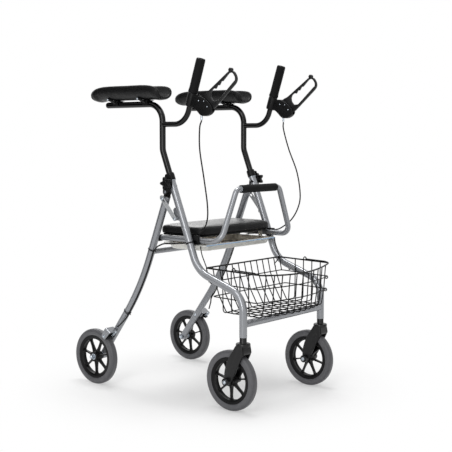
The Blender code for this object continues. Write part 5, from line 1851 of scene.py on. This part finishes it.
@dataclass
class Seat(Assembly):
    """Fold-up seat: the bent bow with its foam sleeve, rails, board and vinyl cushion."""

    rail: float = RAIL_X
    height: float = 0.545
    tube: float = 0.0095
    pivot: tuple[float, float] = (0.072, 0.5425)
    bow_y: float = -0.208
    bow_z: float = 0.717
    half: float = 0.194
    front: float = -0.118
    rear: float = 0.077
    board: tuple[float, float] = (0.555, 0.5592)
    squareness: float = 7.0
    soft: Optional[Object] = None

    def build(self) -> None:
        """Shapes the bow, sleeve, rail ends, board and cushion."""
        r = self.rail
        points = [
            (-r, 0.066, self.height), (-r, -0.202, self.height), (-0.118, self.bow_y, self.bow_z),
            (0.118, self.bow_y, self.bow_z), (r, -0.202, self.height), (r, 0.066, self.height),
        ]
        bow = self.piece("bow", FRAME_PAINT, "seat_bow", "fold_bow")
        bow.add(swept(rounded(points, (0.04, 0.024, 0.024, 0.04), 3.0), self.tube, FITTING_SIDES))
        sleeve = self.piece("bow_sleeve", GRIP_FOAM, "seat_bow", "bow_grip")
        line = [(x, self.bow_y, self.bow_z) for x in (-0.097, -0.096, -0.093, 0.093, 0.096, 0.097)]
        sizes = [0.0128, 0.0132, 0.0135, 0.0135, 0.0132, 0.0128]
        ends = [(0.001, 0.0122), (0.001, 0.0108), (-0.006, 0.01)]
        sleeve.add(swept(line, sizes, 48, ends, ends))
        ring = self.piece("bow_ring", ZINC, "seat_bow")
        for way in BOTH_WAYS:
            rim = [(way * 0.0975, self.bow_y, self.bow_z), (way * 0.099, self.bow_y, self.bow_z)]
            ring.add(swept(rim, 0.0104, FITTING_SIDES), 0.0004)
        board = self.piece("seat_pan", NYLON, "seat_bow", "seat_board")
        x0, y0, y1 = self.half - 0.003, self.front + 0.004, self.rear - 0.004
        shape = soften([(-x0, y0), (x0, y0), (x0, y1), (-x0, y1)], 0.03, 10)
        board.add(slab(shape, *self.board), 0.0008)
        for way in BOTH_WAYS:
            word = Side(way).word
            end = self.piece(f"rail_cap_{word}", NYLON, "seat_bow", f"rail_end_{word}")
            x = way * r
            end.add(pin_x(way * (r - 0.009), way * (r + 0.009), self.pivot, 0.0108, TUBE_SIDES, 0.0016))
            line = [(x, 0.061, self.height), (x, 0.066, self.height - 0.0003), (x, 0.072, 0.544)]
            end.add(swept(line, 0.0112, FITTING_SIDES), 0.0008)
            end.add(pin_x(way * 0.2, way * 0.215, self.pivot, 0.0036), finish=ZINC)
            end.add(domed_head(way * (r - 0.0088), way * (r - 0.0105), self.pivot, 0.0062), finish=ZINC)
        self.build_cushion()

    def build_cushion(self) -> None:
        """Lofts the cushion and fills it."""
        rings = []
        middle, deep = (self.front + self.rear) / 2, (self.rear - self.front) / 2
        levels = (
            (0.0045, 0.5602), (0.0022, 0.5625), (0.001, 0.566), (0.001, 0.57), (0.001, 0.577),
            (0.0016, 0.5812), (0.0038, 0.585), (0.0075, 0.5876), (0.013, 0.5894), (0.03, 0.5912),
            (0.055, 0.5926), (0.08, 0.5934),
        )
        for inset, z in levels:
            ring = []
            for angle in angles(120):
                c, s = math.cos(angle), math.sin(angle)
                px = math.copysign(abs(c) ** (1 / self.squareness), c)
                py = math.copysign(abs(s) ** (1 / self.squareness), s)
                ring.append(((self.half - inset) * px, middle + (deep - inset) * py, z))
            rings.append(ring)
        self.soft = as_object("seat_pad", closed_up(skinned(rings)))
        swollen(self.soft, self.hold, 0.0016, 3.0, 0.0, 0.0046)
        verts = self.soft.data.vertices
        normals = [vert.normal.copy() for vert in verts]
        for vert, normal in zip(verts, normals):
            if normal.z < 0.6 and vert.co.z < 0.586:
                fold = noise.noise(Vector((vert.co.x * 34, vert.co.y * 34, vert.co.z * 14)))
                vert.co += normal * 0.0005 * fold

    def hold(self, point: Vector) -> float:
        """How firmly the cover is held to the board at a point."""
        return 1.0 if point.z < 0.564 else 0.0

    def dress(self) -> list[Object]:
        """Returns:
            The cushion and the hard pieces.
        """
        made = dress(
            self.soft, [SEAT_VINYL, SEAT_TOP_PAINTED_SHEEN], "seat_bow", "vinyl", ["seat_cushion"], NEVER_SHARP
        )
        # Upward faces get the lighter top finish, a painted sheen.
        for face in made.data.polygons:
            if face.normal.z > 0.9:
                face.material_index = 1
        return [made, *super().dress()]


@dataclass
class Tray(Assembly):
    """Clear tray with a rolled flange and four snap hooks on the seat rails."""

    flange: float = 0.198
    top: float = 0.53
    floor: float = 0.508
    front: float = -0.14
    rear: float = 0.058
    wall: float = 0.0022

    def loop(self, half: float, front: float, rear: float, radius: float, z: float) -> list[Vector]:
        """One rounded rectangle of the shell.

        Args:
            half: Half its width.
            front: Its front Y.
            rear: Its rear Y.
            radius: Its corners' radius.
            z: Its height.

        Returns:
            The closed line.
        """
        corners = [
            (half - radius, rear - radius, 0), (-half + radius, rear - radius, 90),
            (-half + radius, front + radius, 180), (half - radius, front + radius, 270),
        ]
        points = []
        for cx, cy, start in corners:
            points += [Vector((x, y, z)) for x, y in arc((cx, cy), radius, start, start + 90, 9)]
        return points

    def build(self) -> None:
        """Shapes the shell and the hooks."""
        f, r, t, top = self.front, self.rear, self.wall, self.top
        loops = [
            self.loop(self.flange - 0.0008, f + 0.0008, r - 0.0008, 0.0132, top),
            self.loop(self.flange, f, r, 0.014, top - 0.0006),
            self.loop(self.flange, f, r, 0.014, top - 0.003),
            self.loop(self.flange - 0.0012, f + 0.0012, r - 0.0012, 0.0132, top - 0.0032),
            self.loop(self.flange - 0.0014, f + 0.0014, r - 0.0014, 0.013, top - t),
            self.loop(0.185, f + 0.0125, r - 0.0085, 0.019, top - t),
            self.loop(0.1828, f + 0.0142, r - 0.0102, 0.02, top - t - 0.0016),
            self.loop(0.178, f + 0.0182, r - 0.0142, 0.023, self.floor + 0.004),
            self.loop(0.1755, f + 0.0205, r - 0.0165, 0.024, self.floor + 0.0008),
            self.loop(0.172, f + 0.0235, r - 0.0195, 0.022, self.floor),
        ]
        inside = [
            self.loop(0.1715, f + 0.0245, r - 0.0205, 0.021, self.floor + t),
            self.loop(0.1745, f + 0.0215, r - 0.0175, 0.0215, self.floor + t + 0.0012),
            self.loop(0.18, f + 0.0168, r - 0.0128, 0.0185, top - 0.003),
            self.loop(0.1818, f + 0.015, r - 0.011, 0.0178, top - 0.0006),
            self.loop(0.183, f + 0.0138, r - 0.0098, 0.0175, top),
        ]
        bm = bmesh.new()
        outer = [[bm.verts.new(p) for p in loop] for loop in loops]
        inner = [[bm.verts.new(p) for p in loop] for loop in inside]
        for first, second in [*zip(outer, outer[1:]), *zip(inner, [*inner[1:], outer[0]])]:
            bridge(bm, first, second)
        bm.faces.new(outer[-1])
        bm.faces.new(inner[0])
        tray = self.piece("tray_shell", TRAY_SHELL, "tray", "tray")
        tray.finishes += [TRAY_LIP, TRAY_INSIDE_PAINTED_LIGHT]
        tray.add(closed_up(bm))
        # The front edge takes the blue edge finish. Inward and upward faces take the brightened cream,
        # painted light against the seat's shadow.
        for face in tray.bm.faces:
            spot = face.calc_center_median()
            facing = spot.x * face.normal.x + (spot.y - (f + r) / 2) * face.normal.y
            if spot.y < f + 0.0015:
                face.material_index = 1
            elif (facing < -0.001 or face.normal.z > 0.5) and abs(spot.x) < 0.184:
                if spot.y > f + 0.013:
                    face.material_index = 2
        for way in BOTH_WAYS:
            for y0 in (-0.084, 0.02):
                line = [
                    (0.1849, 0.529), *arc((RAIL_X, 0.545), 0.01, 205, 128),
                    *arc((RAIL_X, 0.545), 0.0121, 128, 190), (0.1816, 0.529),
                ]
                hook = plate([(way * a, b) for a, b in line], y0, y0 + 0.016)
                for vert in hook.verts:
                    vert.co = (vert.co.y, vert.co.x, vert.co.z)
                bmesh.ops.recalc_face_normals(hook, faces=hook.faces)
                tray.add(hook, 0.0003, 1)


@dataclass
class Basket(Assembly):
    """Welded wire basket with a heavy rim, two rings, hooks and hangers."""

    rear_z: tuple[float, ...] = (0.457, 0.41, 0.3645, 0.3095)
    front_z: tuple[float, ...] = (0.452, 0.4045, 0.36, 0.308)
    half: tuple[float, ...] = (0.204, 0.2035, 0.203, 0.201)
    rear_y: tuple[float, ...] = (-0.147, -0.158, -0.175, -0.207)
    front_y: tuple[float, ...] = (-0.363, -0.3595, -0.356, -0.345)
    bow: tuple[float, ...] = (0.035, 0.035, 0.036, 0.042)
    dip: float = 0.0105
    columns: int = 12
    rows: tuple[float, ...] = (-0.219, -0.255, -0.291, -0.327)
    wire: float = 0.0019
    rim: float = 0.0027
    hook_wire: float = 0.002
    hanger_wire: float = 0.0018

    def place(self, level: int, x: float, y: float) -> Vector:
        """A point of a level, which falls to the front; the rim dips in its middle.

        Args:
            level: The level, 0 at the rim.
            x: Across.
            y: Along.

        Returns:
            The point.
        """
        share = min(1.0, (y - self.rear_y[level]) / (self.front_y[level] - self.rear_y[level]))
        z = self.rear_z[level] + (self.front_z[level] - self.rear_z[level]) * share
        if level == 0 and y < self.front_y[0]:
            z -= self.dip * min(1.0, (self.front_y[0] - y) / self.bow[0]) ** 0.7
        return Vector((x, y, z))

    def front(self, level: int, x: float) -> Vector:
        """The bowed front of a level at x."""
        curve = math.cos(min(1.0, abs(x) / self.half[level]) * math.pi / 2)
        return self.place(level, x, self.front_y[level] - self.bow[level] * curve)

    def ring(self, level: int, corner: float = 0.012) -> list[Vector]:
        """The closed outline at a level, with rounded corners.

        Args:
            level: The level, 0 at the rim.
            corner: How far the rounding reaches.

        Returns:
            The outline.
        """
        half = self.half[level]
        front = [self.front(level, half * (1 - 2 * i / 20)) for i in range(21)]
        outline = [(-half, self.rear_y[level]), (half, self.rear_y[level]), *((p.x, p.y) for p in front)]
        return [self.place(level, x, y) for x, y in soften(outline, corner, 6)]

    def build(self) -> None:
        """Lays out the wires and lets Geometry Nodes draw them."""
        thin, loops = [], [self.ring(1), self.ring(2)]
        bends = (0.03, 0.03, 0.014, 0.01, 0.03, 0.03)
        for index in range(1, self.columns):
            x = self.half[0] * (2 * index / self.columns - 1)
            line = [self.place(level, x, self.rear_y[level]) for level in (0, 1, 2, 3)]
            line += [self.front(level, x) for level in (3, 2, 1, 0)]
            thin.append(rounded(line, bends, 12.0))
        over = Vector((0, 0, self.wire * 2))
        for y in self.rows:
            line = [self.place(level, -self.half[level], y) for level in (0, 1, 2, 3)]
            line += [self.place(level, self.half[level], y) for level in (3, 2, 1, 0)]
            thin.append(rounded([p + over if p.z < 0.32 else p for p in line], bends, 12.0))
        thin.append([self.place(3, x, -0.36) + over for x in (-0.156, 0.156)])
        for way in BOTH_WAYS:
            ends = ((level, way * (self.half[level] - 0.001)) for level in (0, 1))
            thin.append([self.place(level, x, self.rear_y[level] - 0.001) for level, x in ends])
        for level in (1, 2):
            corner = self.front(level, self.half[level]) + Vector((0.001, 0.007, -0.0036))
            turns = [k / 2 for k in range(12)]
            curl = [Vector((0.0, 0.0062 * math.cos(t), 0.005 * math.sin(t))) for t in turns]
            loops.append([corner + offset for offset in curl])
        self.draw("basket_wires", thin, loops, self.wire, 8, "basket")
        self.draw("basket_rim", [], [self.ring(0)], self.rim, 12)
        hooks = []
        for way in BOTH_WAYS:
            x = way * 0.2012
            eye = [(-0.257, 0.453), (-0.257, 0.461), (-0.263, 0.4675), (-0.269, 0.461), (-0.269, 0.453)]
            hooks.append(rounded([(x, y, z) for y, z in eye], (0.006, 0.004, 0.006), 12.0))
            rest = [(-0.266, 0.459), (-0.276, 0.4584), (-0.348, 0.4566), (-0.36, 0.454)]
            hooks.append([(x, y, z) for y, z in rest])
        bent = [
            (0.2005, -0.148, 0.456), (0.1985, -0.144, 0.446), (0.196, -0.133, 0.432),
            (0.1955, -0.1345, 0.425), (0.1955, -0.137, 0.4205),
        ]
        hooks.append(smooth_path(bent, 6))
        self.draw("basket_hooks", hooks, [], self.hook_wire, 8)
        hangers = []
        for way in BOTH_WAYS:
            line = [(0.203, -0.149, 0.4575), (0.205, -0.13, 0.5), (0.2052, -0.124, 0.528)]
            hangers.append(smooth_path([(way * x, y, z) for x, y, z in line], 6))
        self.draw("basket_hangers", hangers, [], self.hanger_wire, 8, body="front_frame")

    def draw(
        self,
        name: str,
        lines: Sequence,
        loops: Sequence,
        radius: float,
        sides: int,
        *nodes: str,
        body: str = "basket",
    ) -> None:
        """Draws wires along polylines with Geometry Nodes and keeps the plain mesh.

        Args:
            name: The piece's name.
            lines: Open polylines.
            loops: Closed polylines.
            radius: The wire's radius.
            sides: Sides of its section.
            nodes: The CAD nodes it replaces.
            body: The body it rides.
        """
        bm = bmesh.new()
        for closed, group in ((False, lines), (True, loops)):
            for points in group:
                verts = [bm.verts.new(p) for p in points]
                for first, second in zip(verts, verts[1:]):
                    bm.edges.new((first, second))
                if closed:
                    bm.edges.new((verts[-1], verts[0]))
        made = as_object(name, bm)
        wires = made.modifiers.new("wires", "NODES")
        wires.node_group = wire_group()
        for item in wires.node_group.interface.items_tree:
            values = {"Radius": radius, "Sides": sides, "Material": BASKET_COAT.material()}
            if item.name in values and item.in_out == "INPUT":
                wires[item.identifier] = values[item.name]
        mesh = settled_mesh(made)
        mesh.shade_smooth()
        dress(made, [BASKET_COAT], body, BASKET_COAT.slot, nodes, WIRE_SHARP_ANGLE)


def wire_group() -> bpy.types.NodeTree:
    """The Geometry Nodes group that turns edges into round wires.

    Returns:
        The group, made once.
    """
    found = bpy.data.node_groups.get("wires_along_edges")
    if found:
        return found
    tree = bpy.data.node_groups.new("wires_along_edges", "GeometryNodeTree")
    for way, name, kind in (
        ("INPUT", "Geometry", "Geometry"),
        ("INPUT", "Radius", "Float"),
        ("INPUT", "Sides", "Int"),
        ("INPUT", "Material", "Material"),
        ("OUTPUT", "Geometry", "Geometry"),
    ):
        tree.interface.new_socket(name, in_out=way, socket_type=f"NodeSocket{kind}")
    given = add_node(tree, "NodeGroupInput")
    line = add_node(tree, "GeometryNodeMeshToCurve", links={"Mesh": (given, "Geometry")})
    section = add_node(
        tree,
        "GeometryNodeCurvePrimitiveCircle",
        links={"Resolution": (given, "Sides"), "Radius": (given, "Radius")},
    )
    wire = add_node(
        tree,
        "GeometryNodeCurveToMesh",
        {"Fill Caps": True},
        {"Curve": (line, "Curve"), "Profile Curve": (section, "Curve")},
    )
    real = add_node(tree, "GeometryNodeRealizeInstances", links={"Geometry": (wire, "Mesh")})
    finished = add_node(
        tree,
        "GeometryNodeSetMaterial",
        links={"Geometry": (real, "Geometry"), "Material": (given, "Material")},
    )
    add_node(tree, "NodeGroupOutput", links={"Geometry": (finished, "Geometry")})
    return tree


@dataclass
class Cables(Assembly):
    """Outer brake cables: housing to seat rest, and seat rest to brake."""

    def build(self) -> None:
        """Shapes both cables of this side along their real routes."""
        upper = {
            Side.RIGHT: [
                (0.225, -0.1472, 0.944), (0.2242, -0.138, 0.9186), (0.2215, -0.1357, 0.85),
                (0.216, -0.1486, 0.7565), (0.211, -0.1592, 0.6698), (0.208, -0.156, 0.618),
                (0.2095, -0.141, 0.585), (0.21, -0.1228, 0.569),
            ],
            Side.LEFT: [
                (0.225, -0.1472, 0.944), (0.2242, -0.149, 0.9173), (0.2205, -0.1755, 0.8469),
                (0.216, -0.215, 0.7659), (0.212, -0.2327, 0.6872), (0.209, -0.2258, 0.6391),
                (0.207, -0.1975, 0.5943), (0.209, -0.15, 0.562), (0.21, -0.1222, 0.5535),
            ],
        }[self.side]
        route = [(self.x(x), y, z) for x, y, z in upper]
        cable = self.sided("cable_to_rest", JACKET, None, "brake_cable_upper")
        cable.add(swept(smooth_path(route, 12), 0.0024, 16, [(0.0006, 0.002)], [(0.0006, 0.002)]))
        lower = [
            (0.2045, -0.071, 0.54), (0.2125, -0.062, 0.5365), (0.227, -0.052, 0.5345),
            (0.235, -0.03, 0.5328), (0.235, 0.0115, 0.53), (0.233, 0.0349, 0.523), (0.229, 0.056, 0.513),
        ]
        route = [Vector((self.x(x), y, z)) for x, y, z in lower]
        leg = Leg(side=self.side)
        for index in range(11):
            centre, down = leg.level(0.497 - 0.0222 * index)
            route.append(centre + Vector((self.x(0.0062), 0.0142 * down.z, -0.0142 * down.y)))
        route += [Vector((self.x(0.233), 0.206, 0.248)), Vector((self.x(0.25), 0.229, 0.218))]
        cable = self.sided("cable_to_brake", JACKET, None, "brake_cable_lower")
        cable.add(swept(smooth_path(route, 6), 0.0025, 16, [(0.0006, 0.002)], [(0.0006, 0.002)]))

    def dress(self) -> list[Object]:
        """Finishes the cables and bakes each one's placement into its mesh.

        Returns:
            The upper and the lower cable.
        """
        first, second = super().dress()
        x = self.x(0.216)
        self.own("arm")
        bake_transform(first)
        x = self.x(0.235)
        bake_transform(second)
        return [first, second]


@dataclass
class CrossTubes(Assembly):
    """The two cross tubes, their ends run into the uprights and the legs."""

    reach: float = 0.212
    front_at: tuple[float, float] = (STEM_Y, 0.29)
    front_radius: float = 0.012
    rear_at: tuple[float, float] = (0.0893, 0.496)
    rear_radius: float = 0.0095
    ripple: float = 0.0003

    def build(self) -> None:
        """Shapes both tubes and their weld beads."""
        front = self.piece("front_bar", FRAME_PAINT, "front_frame", "front_cross_tube")
        front.add(pin_x(-self.reach, self.reach, self.front_at, self.front_radius, TUBE_SIDES))
        rear = self.piece("rear_bar", FRAME_PAINT, "rear_frame", "rear_cross_tube")
        rear.add(pin_x(-self.reach, self.reach, self.rear_at, self.rear_radius, FITTING_SIDES))
        for way in BOTH_WAYS:
            front.add(self.bead((way * UPRIGHT_X, *self.front_at), -way, self.front_radius))
            rear.add(self.bead((way * LEG_X, *self.rear_at), -way, self.rear_radius))

    def bead(self, centre: Point, way: float, bar_radius: float) -> Shape:
        """The weld round a bar where it meets a post of the frame.

        Args:
            centre: Where the two middle lines meet.
            way: The side of the post that the bar is on, as a sign.
            bar_radius: The bar's radius.

        Returns:
            The weld bead.
        """
        loop = []
        for angle in angles(48):
            y, z = bar_radius * math.cos(angle), bar_radius * math.sin(angle)
            out = math.sqrt(max(0.0, FRAME_TUBE**2 - y**2))
            loop.append((centre[0] + way * out, centre[1] + y, centre[2] + z))
        ripple = [0.0013 + self.ripple * math.sin(step * 1.7) for step in range(len(loop))]
        return swept(loop, ripple, 8, closed=True)


@dataclass(frozen=True)
class Studio:
    """Camera, floor, world and lights of the photograph."""

    place: tuple[float, float, float] = (-2.6547, -2.2598, 0.8857)
    azimuth: float = 50.409
    pitch: float = 5.098
    lens: float = 78.157
    world_light: float = 0.36
    shadow_depth: float = 0.32
    floor_radius: float = 40.0

    def build(self) -> None:
        """Sets everything up."""
        self.build_camera()
        self.build_world()
        self.build_floor()
        self.build_light("top", (0.15, 0.2, 3.6), (0.0, 0.0, 0.0), (1.3, 1.3), 62.0)
        self.build_light("key", (-2.4, -1.0, 3.0), (0.0, 0.0, 0.6), (1.2, 1.2), 20.0)
        self.build_light("tall_bank", (-3.3, -1.35, 1.25), (0.0, 0.0, 0.9), (0.9, 2.4), 36.0)
        self.build_light("rim", (2.2, 2.6, 2.4), (0.0, 0.0, 0.6), (1.4, 1.4), 14.0)
        self.build_flag("flag_right", (1.6, -2.4, 1.1), 0.55)
        self.build_flag("flag_left", (-1.7, 2.2, 1.1), 1.1)

    def build_camera(self) -> None:
        """Puts the camera where the photograph was taken."""
        camera = bpy.data.objects.new("camera", bpy.data.cameras.new("camera"))
        bpy.context.scene.collection.objects.link(camera)
        az, down = math.radians(self.azimuth), math.radians(self.pitch)
        level = math.cos(down)
        look = Vector((math.sin(az) * level, math.cos(az) * level, -math.sin(down)))
        camera.location = self.place
        camera.rotation_euler = look.to_track_quat("-Z", "Y").to_euler()
        camera.data.lens = self.lens
        camera.data.sensor_width = 36.0
        bpy.context.scene.camera = camera
        bpy.context.scene.view_settings.view_transform = "Standard"

    def seen(self, tree: bpy.types.NodeTree) -> Source:
        """One where a ray comes from the camera, a glossy surface or a clear one.

        Args:
            tree: The tree that gets the nodes.

        Returns:
            The last node and its output.
        """
        rays = add_node(tree, "ShaderNodeLightPath")
        most = (rays, "Is Camera Ray")
        for kind in ("Glossy", "Transmission"):
            links = {0: most, 1: (rays, f"Is {kind} Ray")}
            most = (add_node(tree, "ShaderNodeMath", {"operation": "MAXIMUM"}, links), "Value")
        return most

    def build_world(self) -> None:
        """A white surround that lights the frame more softly than it looks."""
        world = bpy.data.worlds.new("surround")
        world.use_nodes = True
        bpy.context.scene.world = world
        tree = world.node_tree
        shader = tree.nodes["Background"]
        shader.inputs["Color"].default_value = (1.0, 1.0, 1.0, 1.0)
        level = add_node(tree, "ShaderNodeMix", {2: self.world_light, 3: 1.0}, {0: self.seen(tree)})
        tree.links.new(level.outputs[0], shader.inputs["Strength"])

    def build_floor(self) -> None:
        """A pale floor that keeps the soft shadow and runs out to white."""
        bm = bmesh.new()
        far = self.floor_radius
        rim = [bm.verts.new((far * math.cos(a), far * math.sin(a), 0)) for a in angles(64)]
        bm.faces.new(rim)
        floor = as_object("floor", bm)
        paper = bpy.data.materials.new("white_paper_floor")
        paper.use_nodes = True
        tree = paper.node_tree
        tree.nodes.remove(tree.nodes["Principled BSDF"])
        out = tree.nodes["Material Output"]
        matt = add_node(tree, "ShaderNodeBsdfDiffuse", {"Color": (0.95, 0.95, 0.95, 1.0)})
        glow = add_node(tree, "ShaderNodeEmission", {"Color": (1.0, 1.0, 1.0, 1.0), "Strength": 1.0})
        place = add_node(tree, "ShaderNodeTexCoord")
        away = add_node(tree, "ShaderNodeVectorMath", {"operation": "LENGTH"}, {0: (place, "Object")})
        span = {"interpolation_type": "SMOOTHSTEP", "From Min": 0.3, "From Max": 0.75}
        span["To Min"] = self.shadow_depth
        fade = add_node(tree, "ShaderNodeMapRange", span, {"Value": (away, "Value")})
        links = {0: (fade, "Result"), 1: self.seen(tree)}
        share = add_node(tree, "ShaderNodeMath", {"operation": "MULTIPLY"}, links)
        links = {0: (share, "Value"), 1: (matt, "BSDF"), 2: (glow, "Emission")}
        mix = add_node(tree, "ShaderNodeMixShader", links=links)
        tree.links.new(mix.outputs[0], out.inputs["Surface"])
        floor.data.materials.append(paper)
        floor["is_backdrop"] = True

    def build_flag(self, name: str, middle: Point, half: float) -> None:
        """Hangs a black flag that darkens one side of the tubes.

        Args:
            name: Its name.
            middle: Where it hangs.
            half: Half its width.
        """
        bm = bmesh.new()
        across = Vector((-middle[1], middle[0], 0.0)).normalized() * half
        for spot in (-across, across):
            for height in BOTH_WAYS:
                bm.verts.new(Vector(middle) + spot + Vector((0, 0, height)))
        low, high, other_low, other_high = bm.verts
        bm.faces.new((low, other_low, other_high, high))
        flag = as_object(name, bm)
        cloth = bpy.data.materials.new(f"{name}_cloth")
        cloth.use_nodes = True
        shader = cloth.node_tree.nodes["Principled BSDF"]
        shader.inputs["Base Color"].default_value = (0.01, 0.01, 0.01, 1.0)
        shader.inputs["Roughness"].default_value = 0.9
        flag.data.materials.append(cloth)
        flag.visible_camera = False
        flag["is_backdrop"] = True

    def build_light(
        self, name: str, place: Point, target: Point, size: tuple[float, float], power: float
    ) -> None:
        """Adds a softbox.

        Args:
            name: The light's name.
            place: Where it stands.
            target: The point that it faces.
            size: The softbox's width and height in metres.
            power: Its power in watts.
        """
        lamp = bpy.data.lights.new(name, "AREA")
        lamp.shape = "RECTANGLE"
        lamp.size, lamp.size_y = size
        lamp.energy = power
        made = bpy.data.objects.new(name, lamp)
        made.location = place
        made.rotation_euler = (Vector(target) - Vector(place)).to_track_quat("-Z", "Y").to_euler()
        bpy.context.scene.collection.objects.link(made)


def corners() -> list[list[float]]:
    """The shown model's lowest and highest corner as plain numbers."""
    return [list(corner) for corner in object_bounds()]


def main() -> None:
    """Builds the studio and every sub-assembly, in order."""
    logging.basicConfig(level=logging.INFO, format="%(message)s")
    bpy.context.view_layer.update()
    Studio().build()
    assemblies: list[Assembly] = [CrossTubes(), Seat(), Tray(), Basket()]
    spokes = {Side.RIGHT: (51.0, 51.0), Side.LEFT: (25.0, 44.5)}
    for side in Side:
        front, rear = spokes[side]
        assemblies += [Upright(side), Leg(side), Arm(side), ForearmPad(side), Cables(side), Caster(side)]
        assemblies.append(Wheel(side, place="front", first_spoke=front))
        assemblies.append(
            Wheel(side, place="rear", centre=(0.254, *REAR_AXLE), hub_half=0.0155, first_spoke=rear)
        )
    for assembly in assemblies:
        assembly.build()
        assembly.dress()
        LOG.info("%s %s", type(assembly).__name__, assembly.side.word)


if __name__ == "__main__":
    main()
